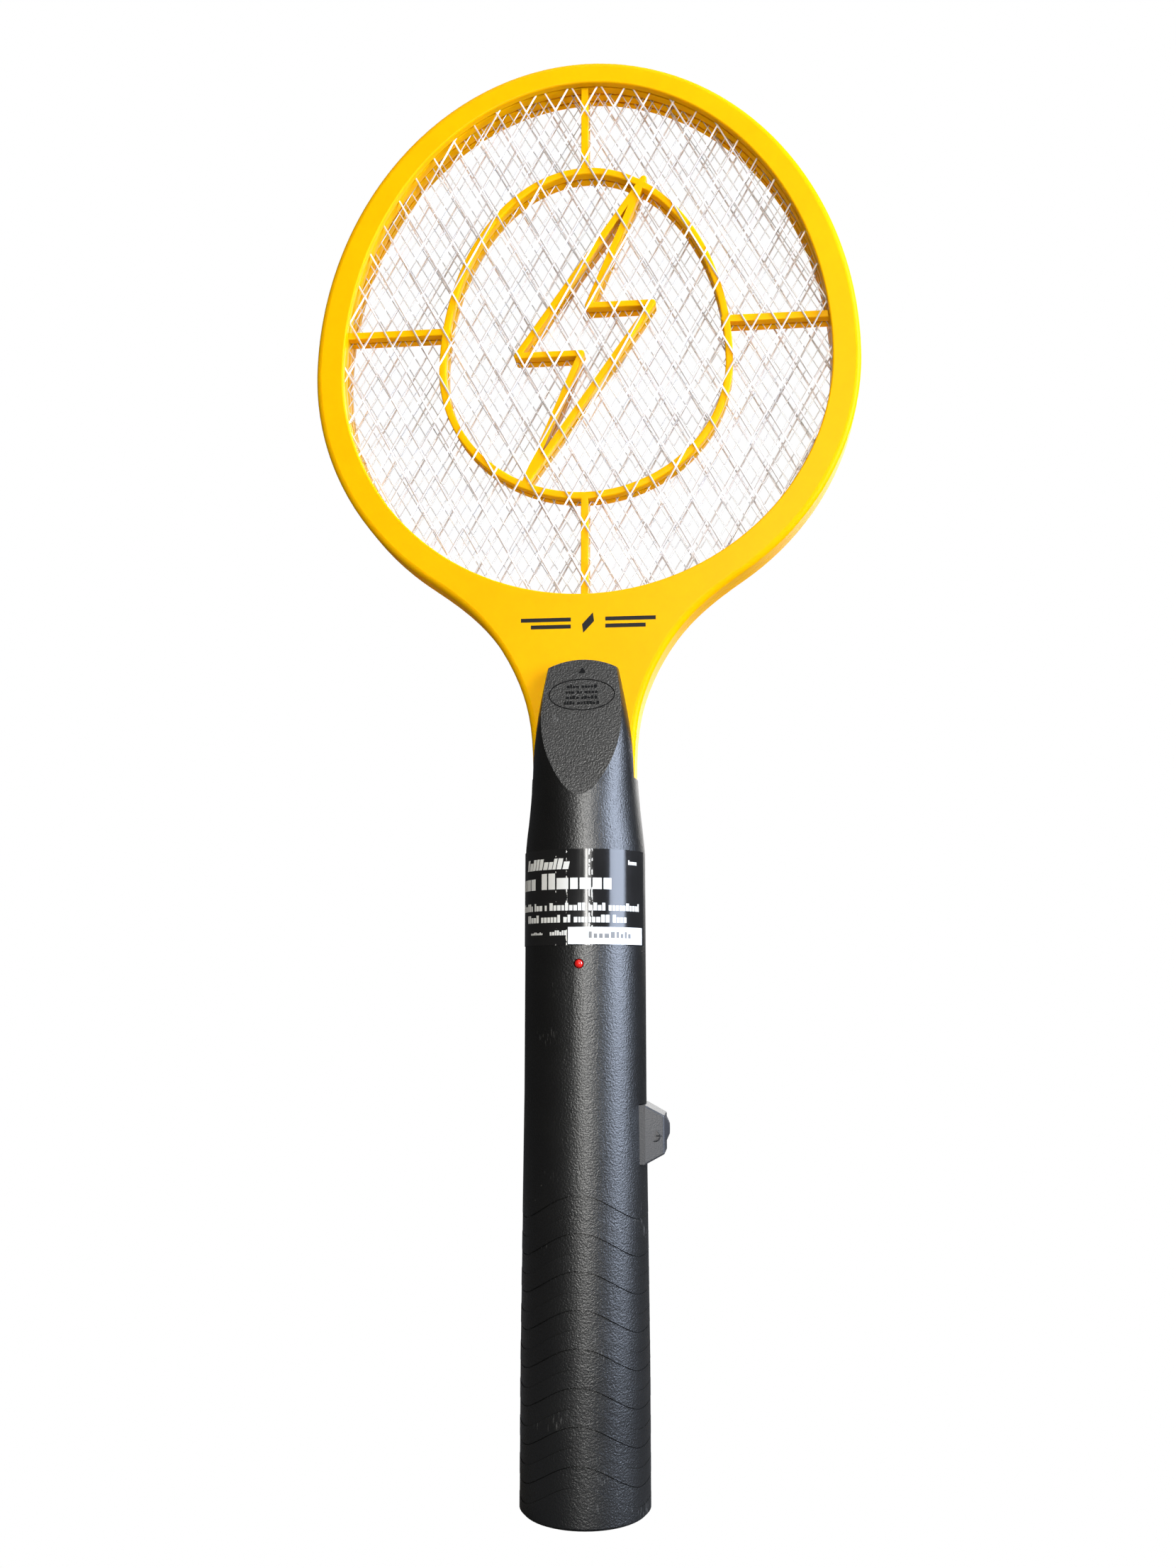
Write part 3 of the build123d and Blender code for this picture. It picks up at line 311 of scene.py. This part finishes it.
# --------------------------------------------------------------------------------------
# Spacers
# Two yellow ABS mouldings, one each side of the live grid: a hoop with four spokes, an egg-shaped
# ring and a hollow lightning bolt, all with softly rounded edges.
# --------------------------------------------------------------------------------------
RIB_ROUND = 0.55 * MM
ROUND_STEPS = 4


def rounded_spacer(name, node):
    """The spacer with the edges of its outer and inner faces rounded over."""
    spacer = bmesh.new()
    spacer.from_mesh(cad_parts[node].data)
    bmesh.ops.remove_doubles(spacer, verts=spacer.verts, dist=0.01 * MM)
    low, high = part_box(node)
    for direction, level in ((-1, low.y), (1, high.y)):
        flat = [
            f for f in spacer.faces
            if f.normal.y * direction > 0.99 and abs(f.calc_center_median().y - level) < 0.01 * MM
        ]
        around = {v for f in flat for v in f.verts}
        bmesh.ops.translate(spacer, verts=list(around), vec=(0.0, -direction * RIB_ROUND, 0.0))
        before = 0.0
        for step in range(1, ROUND_STEPS + 1):
            angle = math.pi / 2 * step / ROUND_STEPS
            inset = RIB_ROUND * (math.cos(before) - math.cos(angle))
            lift = RIB_ROUND * (math.sin(angle) - math.sin(before))
            bmesh.ops.inset_region(
                spacer, faces=flat, use_boundary=True, use_even_offset=False, thickness=inset, depth=lift)
            before = angle
    bmesh.ops.recalc_face_normals(spacer, faces=spacer.faces)
    piece = keep(spacer, name, yellow, "swatter", 35)
    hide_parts(node)
    return piece


rounded_spacer("front_ribs", "front_spacer")
rounded_spacer("rear_ribs", "rear_spacer")

# --------------------------------------------------------------------------------------
# Handle shells and battery door
# Black ABS mouldings with a fine spark-eroded grain: front shell with the flat facet and oval,
# rear shell, and the door over the cells. Handling has left pale dust and small scuffs.
# --------------------------------------------------------------------------------------
def add_dust(material, colour, amount):
    """Mixes pale specks and short scuffs over a finish. Amount is 0 for none and 1 for a lot."""
    nodes, links = material.node_tree.nodes, material.node_tree.links
    shader = nodes["Principled BSDF"]
    clean = shader.inputs["Base Color"].links[0].from_socket
    place = nodes.new("ShaderNodeTexCoord")
    specks = nodes.new("ShaderNodeTexVoronoi")
    specks.inputs["Scale"].default_value = 1 / (7 * MM)
    links.new(place.outputs["Object"], specks.inputs["Vector"])
    near = nodes.new("ShaderNodeMath")
    near.operation = "LESS_THAN"
    near.inputs[1].default_value = 0.035
    links.new(specks.outputs["Distance"], near.inputs[0])
    stretch = nodes.new("ShaderNodeMapping")
    stretch.inputs["Scale"].default_value = (1 / (0.45 * MM), 1 / (0.45 * MM), 1 / (3.2 * MM))
    stretch.inputs["Rotation"].default_value = (0.0, math.radians(18), 0.0)
    links.new(place.outputs["Object"], stretch.inputs["Vector"])
    scuffs = nodes.new("ShaderNodeTexNoise")
    scuffs.inputs["Scale"].default_value = 1.0
    scuffs.inputs["Detail"].default_value = 3.0
    links.new(stretch.outputs["Vector"], scuffs.inputs["Vector"])
    patches = nodes.new("ShaderNodeTexNoise")
    patches.inputs["Scale"].default_value = 1 / (16 * MM)
    links.new(place.outputs["Object"], patches.inputs["Vector"])
    both = nodes.new("ShaderNodeMath")
    both.operation = "MULTIPLY"
    links.new(scuffs.outputs["Fac"], both.inputs[0])
    links.new(patches.outputs["Fac"], both.inputs[1])
    worn = nodes.new("ShaderNodeMapRange")
    worn.inputs["From Min"].default_value = 0.40
    worn.inputs["From Max"].default_value = 0.50
    worn.inputs["To Max"].default_value = amount
    links.new(both.outputs["Value"], worn.inputs["Value"])
    total = nodes.new("ShaderNodeMath")
    total.operation = "MAXIMUM"
    links.new(near.outputs["Value"], total.inputs[0])
    links.new(worn.outputs["Result"], total.inputs[1])
    rare = nodes.new("ShaderNodeMath")
    rare.operation = "MULTIPLY"
    links.new(total.outputs["Value"], rare.inputs[0])
    share = nodes.new("ShaderNodeMapRange")
    share.inputs["From Min"].default_value = 0.48
    share.inputs["From Max"].default_value = 0.62
    share.inputs["To Max"].default_value = amount
    links.new(patches.outputs["Fac"], share.inputs["Value"])
    links.new(share.outputs["Result"], rare.inputs[1])
    over = nodes.new("ShaderNodeMix")
    over.data_type = "RGBA"
    links.new(rare.outputs["Value"], over.inputs["Factor"])
    links.new(clean, over.inputs["A"])
    over.inputs["B"].default_value = list(colour) + [1.0]
    links.new(over.outputs["Result"], shader.inputs["Base Color"])


black = finish(
    "black_plastic", (0.0045, 0.0042, 0.0035), 0.36, grain=0.6, relief=0.14, spread=0.16, specular=0.75)
add_dust(black, (0.32, 0.31, 0.29), 0.5)
for node in ("front_handle", "rear_handle", "battery_door"):
    wear(node, black)
for node in ("handle_screws", "door_screw"):
    wear(node, screw_steel)

# --------------------------------------------------------------------------------------
# Marks on the facet
# Four rows of tiny raised dashes inside the oval and a small triangle above it, moulded with the
# front shell and made in a dark, matte finish. A dark ring sunk into the oval's groove is painted shade.
# --------------------------------------------------------------------------------------
FACET_SLOPE = 0.216
FACET_TOP = Vector((0.0, -0.0097, 0.2778))
OVAL_DROP = 13.1          # millimetres down the facet from its top to the oval's centre
facet_up = Vector((0.0, FACET_SLOPE, 1.0)).normalized()
facet_out = Vector((0.0, -1.0, FACET_SLOPE)).normalized()
facet_place = Matrix((
    (1.0, facet_out.x, facet_up.x, 0.0),
    (0.0, facet_out.y, facet_up.y, 0.0),
    (0.0, facet_out.z, facet_up.z, 0.0),
    (0.0, 0.0, 0.0, 1.0),
))


def dashes(words, letter, gap, seed):
    """Blocks that stand for a line of small print: (offset along the line, width, height share)."""
    chance = random.Random(seed)
    blocks, reach = [], 0.0
    for length in words:
        for _ in range(length):
            width = letter * chance.uniform(0.7, 1.25)
            blocks.append((reach + width / 2, width, chance.choice((0.7, 0.7, 1.0))))
            reach += width + gap
        reach += letter * 0.8
    return blocks, reach - letter * 0.8 - gap


facet_marks_and_groove_shade = bmesh.new()
for row, words in enumerate(((4, 5), (3, 2, 4), (4, 5), (4, 7))):
    blocks, length = dashes(words, 0.85 * MM, 0.25 * MM, row)
    height = 1.1 * MM
    drop = (OVAL_DROP - 3.05 + 2.03 * row) * MM
    for offset, width, share in blocks:
        spot = FACET_TOP + facet_up * (height * (share - 1.0) / 2 - drop)
        spot.x += offset - length / 2
        size = Matrix.Diagonal((width, 0.3 * MM, height * share, 1.0))
        bmesh.ops.create_cube(facet_marks_and_groove_shade, size=1.0, matrix=Matrix.Translation(spot) @ facet_place @ size)
triangle_spot = Matrix.Translation(FACET_TOP + facet_up * (-4.3 * MM)) @ facet_place
bmesh.ops.create_cone(
    facet_marks_and_groove_shade, cap_ends=True, segments=3, radius1=1.5 * MM, radius2=1.35 * MM, depth=0.14 * MM,
    matrix=triangle_spot @ Matrix.Rotation(math.radians(90), 4, "X"),
)
# Painted shade: a thin dark ring, sunk 0.18 to 0.28 mm into the facet, fills the oval's groove.
OVAL_STEPS = 64
oval_centre = FACET_TOP - facet_up * (OVAL_DROP * MM)
groove_shade_loops = []
for half_width, half_height, depth in (
    (11.36, 5.86, 0.18), (11.04, 5.54, 0.18), (11.04, 5.54, 0.28), (11.36, 5.86, 0.28),
):
    loop = []
    for step in range(OVAL_STEPS):
        angle = 2 * math.pi * step / OVAL_STEPS
        spot = oval_centre + facet_up * (half_height * math.sin(angle) * MM) - facet_out * (depth * MM)
        spot.x = half_width * math.cos(angle) * MM
        loop.append(facet_marks_and_groove_shade.verts.new(spot))
    groove_shade_loops.append(loop)
for near_loop, far_loop in zip(groove_shade_loops, groove_shade_loops[1:] + groove_shade_loops[:1]):
    for step in range(OVAL_STEPS):
        after = (step + 1) % OVAL_STEPS
        facet_marks_and_groove_shade.faces.new((near_loop[step], near_loop[after], far_loop[after], far_loop[step]))
bmesh.ops.recalc_face_normals(facet_marks_and_groove_shade, faces=facet_marks_and_groove_shade.faces)
# One dark, matte finish for the dashes and the triangle, and for the painted shade in the oval's groove.
marks_and_groove_shade = finish(
    "dark_marks_and_painted_groove_shade", (0.003, 0.003, 0.003), 0.7, grain=0.4, relief=0.02, spread=0.2, specular=0.12)
keep(facet_marks_and_groove_shade, "facet_marks_and_groove_shade", marks_and_groove_shade, "swatter")

# --------------------------------------------------------------------------------------
# Wrapped label
# A glossy black film with white print, stuck round the handle. Creases have cracked its ink,
# and it has small ripples. The print is plain blocks in place of words.
# --------------------------------------------------------------------------------------
label_low, label_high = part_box("information_label")
label_radius = -label_low.y
film = finish("label_film", (0.012, 0.0115, 0.011), 0.16, grain=0.9, relief=0.004, spread=0.2)
film_nodes, film_links = film.node_tree.nodes, film.node_tree.links
film_shader = film_nodes["Principled BSDF"]
film_place = film_nodes.new("ShaderNodeTexCoord")
film_axes = film_nodes.new("ShaderNodeSeparateXYZ")
film_links.new(film_place.outputs["Object"], film_axes.inputs["Vector"])
film_front = film_nodes.new("ShaderNodeMath")
film_front.operation = "MULTIPLY"
film_front.inputs[1].default_value = -1.0
film_links.new(film_axes.outputs["Y"], film_front.inputs[0])
film_turn = film_nodes.new("ShaderNodeMath")
film_turn.operation = "ARCTAN2"
film_links.new(film_axes.outputs["X"], film_turn.inputs[0])
film_links.new(film_front.outputs["Value"], film_turn.inputs[1])
rag = film_nodes.new("ShaderNodeTexNoise")
rag.inputs["Scale"].default_value = 1 / (1.6 * MM)
rag.inputs["Detail"].default_value = 4.0
film_links.new(film_place.outputs["Object"], rag.inputs["Vector"])
crack_sum = None
for turn_degrees, half_width, ink_left in (
    (-11.3, 0.010, 0.50), (9.6, 0.011, 0.46), (12.2, 0.009, 0.50), (-22.0, 0.006, 0.60),
):
    gap = film_nodes.new("ShaderNodeMath")
    gap.operation = "SUBTRACT"
    gap.inputs[1].default_value = math.radians(turn_degrees)
    film_links.new(film_turn.outputs["Value"], gap.inputs[0])
    wander = film_nodes.new("ShaderNodeMath")
    wander.operation = "MULTIPLY_ADD"
    wander.inputs[1].default_value = 0.030
    film_links.new(rag.outputs["Fac"], wander.inputs[0])
    film_links.new(gap.outputs["Value"], wander.inputs[2])
    inside = film_nodes.new("ShaderNodeMath")
    inside.operation = "COMPARE"
    inside.inputs[1].default_value = 0.015
    inside.inputs[2].default_value = half_width
    film_links.new(wander.outputs["Value"], inside.inputs[0])
    broken = film_nodes.new("ShaderNodeMath")
    broken.operation = "GREATER_THAN"
    broken.inputs[1].default_value = ink_left
    film_links.new(rag.outputs["Fac"], broken.inputs[0])
    crack = film_nodes.new("ShaderNodeMath")
    crack.operation = "MULTIPLY"
    film_links.new(inside.outputs["Value"], crack.inputs[0])
    film_links.new(broken.outputs["Value"], crack.inputs[1])
    if crack_sum is None:
        crack_sum = crack.outputs["Value"]
    else:
        more = film_nodes.new("ShaderNodeMath")
        more.operation = "MAXIMUM"
        film_links.new(crack_sum, more.inputs[0])
        film_links.new(crack.outputs["Value"], more.inputs[1])
        crack_sum = more.outputs["Value"]
film_colour = film_nodes.new("ShaderNodeMix")
film_colour.data_type = "RGBA"
film_links.new(crack_sum, film_colour.inputs["Factor"])
film_links.new(film_shader.inputs["Base Color"].links[0].from_socket, film_colour.inputs["A"])
film_colour.inputs["B"].default_value = (0.74, 0.72, 0.66, 1.0)
film_links.new(film_colour.outputs["Result"], film_shader.inputs["Base Color"])
ripple_place = film_nodes.new("ShaderNodeMapping")
ripple_place.inputs["Scale"].default_value = (1 / (3.2 * MM), 1 / (3.2 * MM), 1 / (60 * MM))
film_links.new(film_place.outputs["Object"], ripple_place.inputs["Vector"])
ripple = film_nodes.new("ShaderNodeTexNoise")
ripple.inputs["Scale"].default_value = 1.0
ripple.inputs["Detail"].default_value = 1.0
film_links.new(ripple_place.outputs["Vector"], ripple.inputs["Vector"])
ripple_bump = film_nodes.new("ShaderNodeBump")
ripple_bump.inputs["Distance"].default_value = 0.10 * MM
film_links.new(ripple.outputs["Fac"], ripple_bump.inputs["Height"])
film_links.new(film_shader.inputs["Normal"].links[0].from_socket, ripple_bump.inputs["Normal"])
film_links.new(ripple_bump.outputs["Normal"], film_shader.inputs["Normal"])
wear("information_label", film)


def wrapped_print(name, marks, radius, thickness, material):
    """Flat printed marks (arc, height, width, tall, lean), wrapped round the handle at a radius."""
    ink = bmesh.new()
    for arc, z, width, tall, lean in marks:
        across = max(1, round(width / (0.8 * MM)))
        size = Matrix.Diagonal((width, tall, 1.0, 1.0))
        shear = Matrix.Identity(4)
        shear[0][1] = lean
        upright = Matrix.Rotation(math.radians(90), 4, "X")
        bmesh.ops.create_grid(
            ink, x_segments=across, y_segments=1, size=0.5,
            matrix=Matrix.Translation((arc, 0.0, z)) @ upright @ shear @ size,
        )
    raised = bmesh.ops.extrude_face_region(ink, geom=ink.faces[:], use_keep_orig=True)["geom"]
    lifted = [v for v in raised if isinstance(v, bmesh.types.BMVert)]
    bmesh.ops.translate(ink, verts=lifted, vec=(0.0, -thickness, 0.0))
    for vert in ink.verts:
        reach, turn = radius - vert.co.y, vert.co.x / radius
        vert.co = Vector((reach * math.sin(turn), -reach * math.cos(turn), vert.co.z))
    bmesh.ops.recalc_face_normals(ink, faces=ink.faces)
    return keep(ink, name, material, "swatter", 30)


def print_line(words, letter, gap, seed, end, z, height, lean=0.0):
    """One line of blocks that ends at an arc length, standing on height z, as marks."""
    blocks, length = dashes(words, letter, gap, seed)
    return [
        (end - length + offset, z + height * share / 2, width, height * share, lean)
        for offset, width, share in blocks
    ]


white_ink = finish("white_ink", (0.80, 0.79, 0.74), 0.25, grain=0.5, relief=0.004, spread=0.06)
label_marks = print_line((10,), 1.62 * MM, 0.36 * MM, 11, -3.3 * MM, 204.9 * MM, 3.6 * MM, 0.22)
label_marks += print_line((3, 7), 3.35 * MM, 0.62 * MM, 15, 11.0 * MM, 198.3 * MM, 5.3 * MM)
label_marks += print_line((8, 3, 1, 9, 4, 10), 1.12 * MM, 0.30 * MM, 13, 23.6 * MM, 191.3 * MM, 2.5 * MM)
label_marks += print_line((5, 6, 2, 9, 4), 1.12 * MM, 0.30 * MM, 14, 16.9 * MM, 187.4 * MM, 2.5 * MM)
label_marks += print_line((7,), 0.72 * MM, 0.20 * MM, 17, -4.3 * MM, 183.2 * MM, 1.6 * MM)
label_marks += print_line((9,), 0.55 * MM, 0.22 * MM, 16, -13.5 * MM, 183.4 * MM, 0.9 * MM)
label_marks += print_line((5,), 0.78 * MM, 0.20 * MM, 18, 22.2 * MM, 206.7 * MM, 1.5 * MM)
INK_GAP = 0.005 * MM
INK_THICKNESS = 0.02 * MM
wrapped_print("label_print", label_marks, label_radius + INK_GAP, INK_THICKNESS, white_ink)

# --------------------------------------------------------------------------------------
# Number sticker
# A small white paper sticker over the label's lower corner, with a grey number turned to blocks.
# --------------------------------------------------------------------------------------
sticker_paper = finish("sticker_paper", (0.86, 0.855, 0.83), 0.55, grain=0.25, relief=0.008, spread=0.04)
wear("serial_sticker", sticker_paper)
grey_ink = finish("grey_ink", (0.16, 0.16, 0.155), 0.5, grain=0.4, relief=0.004, spread=0.15)
sticker_radius = -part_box("serial_sticker")[0].y
number_marks = print_line((9,), 1.3 * MM, 0.6 * MM, 21, 18.9 * MM, 182.3 * MM, 2.1 * MM)
wrapped_print(
    "sticker_print", number_marks, sticker_radius + INK_GAP, INK_THICKNESS, grey_ink)

# --------------------------------------------------------------------------------------
# Neck print
# A black lightning bolt between two bars, pad-printed on the flat of the neck.
# --------------------------------------------------------------------------------------
black_ink = finish(
    "black_ink", (0.008, 0.007, 0.006), 0.5, grain=0.5, relief=0.003, spread=0.2, specular=0.15)
neck_face_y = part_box("front_frame")[0].y
NECK_PRINT = Vector((1.65 * MM, neck_face_y, 291.4 * MM))
neck_print = bmesh.new()
for hand in (-1, 1):
    for bar_z, bar_length in ((1.25, 17.5), (-1.25, 14.0)):
        size = Matrix.Diagonal((bar_length * MM, 0.04 * MM, 1.4 * MM, 1.0))
        spot = NECK_PRINT + Vector((hand * (6.0 + bar_length / 2) * MM, 0.0, bar_z * MM))
        bmesh.ops.create_cube(neck_print, size=1.0, matrix=Matrix.Translation(spot) @ size)
for turn in (0.0, math.pi):
    wedge = [Vector((x * MM, 0.0, z * MM)) for x, z in ((1.7, 3.6), (-2.1, -0.5), (2.1, 0.5))]
    corners = [neck_print.verts.new(NECK_PRINT + Matrix.Rotation(turn, 3, "Y") @ w) for w in wedge]
    flat = neck_print.faces.new(corners)
    lifted = bmesh.ops.extrude_face_region(neck_print, geom=[flat], use_keep_orig=True)["geom"]
    lifted = [v for v in lifted if isinstance(v, bmesh.types.BMVert)]
    bmesh.ops.translate(neck_print, verts=lifted, vec=(0.0, -0.02 * MM, 0.0))
bmesh.ops.recalc_face_normals(neck_print, faces=neck_print.faces)
keep(neck_print, "neck_print", black_ink, "swatter")

# --------------------------------------------------------------------------------------
# Push button and its switch
# A hollow black ABS cap in a slot of the casing, over a small tact switch on its own board. A
# generic power mark is raised on both its sides.
# --------------------------------------------------------------------------------------
button_plastic = finish("button_plastic", (0.034, 0.034, 0.036), 0.36, grain=0.5, relief=0.03, spread=0.12)
wear("push_button", button_plastic)
MARK_RADIUS = 1.75 * MM
MARK_LINE = 0.22 * MM
power_mark = bmesh.new()
for hand in (-1, 1):
    lean = Matrix.Rotation(hand * math.atan2(1.0, 6.3), 4, "Z")
    spot = Matrix.Translation((23.7 * MM, hand * 8.12 * MM, 118.2 * MM)) @ lean
    section = bmesh.ops.create_circle(
        power_mark, cap_ends=False, segments=8, radius=MARK_LINE,
        matrix=Matrix.Translation((MARK_RADIUS, 0.0, 0.0)),
    )["verts"]
    turned = Matrix.Rotation(math.radians(-55), 4, "Y")
    bmesh.ops.transform(power_mark, matrix=turned, verts=section)
    section_edges = list({e for v in section for e in v.link_edges})
    swept = bmesh.ops.spin(
        power_mark, geom=section_edges, cent=(0, 0, 0), axis=(0, 1, 0), angle=math.radians(290), steps=28)
    last = [e for e in swept["geom_last"] if isinstance(e, bmesh.types.BMEdge)]
    bmesh.ops.edgeloop_fill(power_mark, edges=section_edges)
    bmesh.ops.edgeloop_fill(power_mark, edges=last)
    bmesh.ops.create_cone(
        power_mark, cap_ends=True, segments=8, radius1=MARK_LINE, radius2=MARK_LINE, depth=1.9 * MM,
        matrix=Matrix.Translation((MARK_RADIUS * 0.75, 0.0, 0.0)) @ Matrix.Rotation(math.radians(90), 4, "Y"),
    )
    fresh = [v for v in power_mark.verts if not v.tag]
    bmesh.ops.transform(power_mark, matrix=spot, verts=fresh)
    for vert in power_mark.verts:
        vert.tag = True
bmesh.ops.recalc_face_normals(power_mark, faces=power_mark.faces)
keep(power_mark, "button_mark", button_plastic, "button", 40)

component_black = finish("component_black", (0.02, 0.02, 0.021), 0.4, grain=0.3, relief=0.01, spread=0.15)
for node in ("switch_body", "switch_plunger"):
    wear(node, component_black)

# --------------------------------------------------------------------------------------
# Lamp
# A three-millimetre red lamp in clear tinted epoxy, on long tinned leads, in a hole of the casing.
# --------------------------------------------------------------------------------------
lamp_red = finish("lamp_red", (0.80, 0.016, 0.012), 0.12, grain=0.8, relief=0.002, spread=0.1)
lamp_shader = lamp_red.node_tree.nodes["Principled BSDF"]
lamp_shader.inputs["Coat Weight"].default_value = 1.0
lamp_shader.inputs["Coat Roughness"].default_value = 0.04
lamp_shader.inputs["Subsurface Weight"].default_value = 0.3
lamp_shader.inputs["Subsurface Radius"].default_value = (0.0012, 0.0002, 0.0002)
wear("indicator_lamp", lamp_red)
lead_metal = finish("lead_metal", (0.70, 0.70, 0.69), 0.28, 1.0, 0.4, 0.004, 0.1)
wear("lamp_leads", lead_metal)

# --------------------------------------------------------------------------------------
# Cells and contacts
# Two D cells in printed jackets with bare steel ends, between a nickel-plated spring and plate
# at the foot and a sprung strip at the top.
# --------------------------------------------------------------------------------------
jacket = finish("cell_jacket", (0.018, 0.022, 0.030), 0.3, grain=0.6, relief=0.006, spread=0.2)
jacket_nodes, jacket_links = jacket.node_tree.nodes, jacket.node_tree.links
jacket_shader = jacket_nodes["Principled BSDF"]
cell_low, cell_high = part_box("lower_battery")
cell_axis = (cell_low + cell_high) / 2
jacket_place = jacket_nodes.new("ShaderNodeTexCoord")
jacket_axes = jacket_nodes.new("ShaderNodeSeparateXYZ")
jacket_links.new(jacket_place.outputs["Object"], jacket_axes.inputs["Vector"])
from_axis = jacket_nodes.new("ShaderNodeVectorMath")
from_axis.operation = "SUBTRACT"
from_axis.inputs[1].default_value = (cell_axis.x, cell_axis.y, 0.0)
jacket_links.new(jacket_place.outputs["Object"], from_axis.inputs[0])
level = jacket_nodes.new("ShaderNodeVectorMath")
level.operation = "MULTIPLY"
level.inputs[1].default_value = (1.0, 1.0, 0.0)
jacket_links.new(from_axis.outputs["Vector"], level.inputs[0])
reach = jacket_nodes.new("ShaderNodeVectorMath")
reach.operation = "LENGTH"
jacket_links.new(level.outputs["Vector"], reach.inputs[0])
bare = jacket_nodes.new("ShaderNodeMath")
bare.operation = "LESS_THAN"
bare.inputs[1].default_value = (cell_high.x - cell_low.x) / 2 - 0.7 * MM
jacket_links.new(reach.outputs["Value"], bare.inputs[0])
jacket_links.new(bare.outputs["Value"], jacket_shader.inputs["Metallic"])
cell_count = jacket_nodes.new("ShaderNodeMath")
cell_count.operation = "MODULO"
cell_count.inputs[1].default_value = 61.5 * MM
jacket_links.new(jacket_axes.outputs["Z"], cell_count.inputs[0])
band = jacket_nodes.new("ShaderNodeMath")
band.operation = "COMPARE"
band.inputs[1].default_value = 53.0 * MM
band.inputs[2].default_value = 7.5 * MM
jacket_links.new(cell_count.outputs["Value"], band.inputs[0])
banded = jacket_nodes.new("ShaderNodeMix")
banded.data_type = "RGBA"
jacket_links.new(band.outputs["Value"], banded.inputs["Factor"])
jacket_links.new(jacket_shader.inputs["Base Color"].links[0].from_socket, banded.inputs["A"])
banded.inputs["B"].default_value = (0.50, 0.24, 0.07, 1.0)
steel_ends = jacket_nodes.new("ShaderNodeMix")
steel_ends.data_type = "RGBA"
jacket_links.new(bare.outputs["Value"], steel_ends.inputs["Factor"])
jacket_links.new(banded.outputs["Result"], steel_ends.inputs["A"])
steel_ends.inputs["B"].default_value = (0.66, 0.65, 0.63, 1.0)
jacket_links.new(steel_ends.outputs["Result"], jacket_shader.inputs["Base Color"])
for node in ("lower_battery", "upper_battery"):
    wear(node, jacket)
nickel = finish("nickel_plate", (0.74, 0.72, 0.68), 0.22, 1.0, 0.5, 0.005, 0.12)
for node in ("spring_plate", "contact_spring", "top_contact"):
    wear(node, nickel)

# --------------------------------------------------------------------------------------
# Circuit board
# Green laminate with the transformer, its taped winding, film and small capacitors, diodes,
# resistors and the power transistor, held by two screws inside the front shell.
# --------------------------------------------------------------------------------------
laminate = finish("board_laminate", (0.04, 0.20, 0.07), 0.32, grain=1.3, relief=0.03, spread=0.3)
for node in ("circuit_board", "switch_board"):
    wear(node, laminate)
inner_finishes = {
    "transformer_core": finish("ferrite", (0.035, 0.035, 0.038), 0.62, grain=0.2, relief=0.02, spread=0.15),
    "transformer_winding": finish(
        "winding_tape", (0.80, 0.55, 0.04), 0.3, grain=1.2, relief=0.03, spread=0.1),
    "storage_capacitor": finish("capacitor_coat", (0.30, 0.055, 0.02), 0.24, grain=1.5, relief=0.03),
    "resistors": finish("resistor_coat", (0.60, 0.42, 0.24), 0.35, grain=0.5, relief=0.01, spread=0.15),
    "rectifier_diodes": component_black,
    "transistor": component_black,
    "board_screws": screw_steel,
}
inner_finishes["small_capacitors"] = inner_finishes["storage_capacitor"]
for node, material in inner_finishes.items():
    wear(node, material)

# --------------------------------------------------------------------------------------
# Wires
# Stranded copper in soft PVC: red from the cells and to the live grid, black to the guard grids
# and the switch.
# --------------------------------------------------------------------------------------
red_wire = finish("wire_red", (0.50, 0.02, 0.018), 0.38, grain=0.8, relief=0.01, spread=0.12)
black_wire = finish("wire_black", (0.02, 0.02, 0.02), 0.38, grain=0.8, relief=0.01, spread=0.12)
for node, material in {
    "live_wire": red_wire, "battery_wires": red_wire, "guard_wires": black_wire, "switch_wires": black_wire,
}.items():
    wear(node, material)
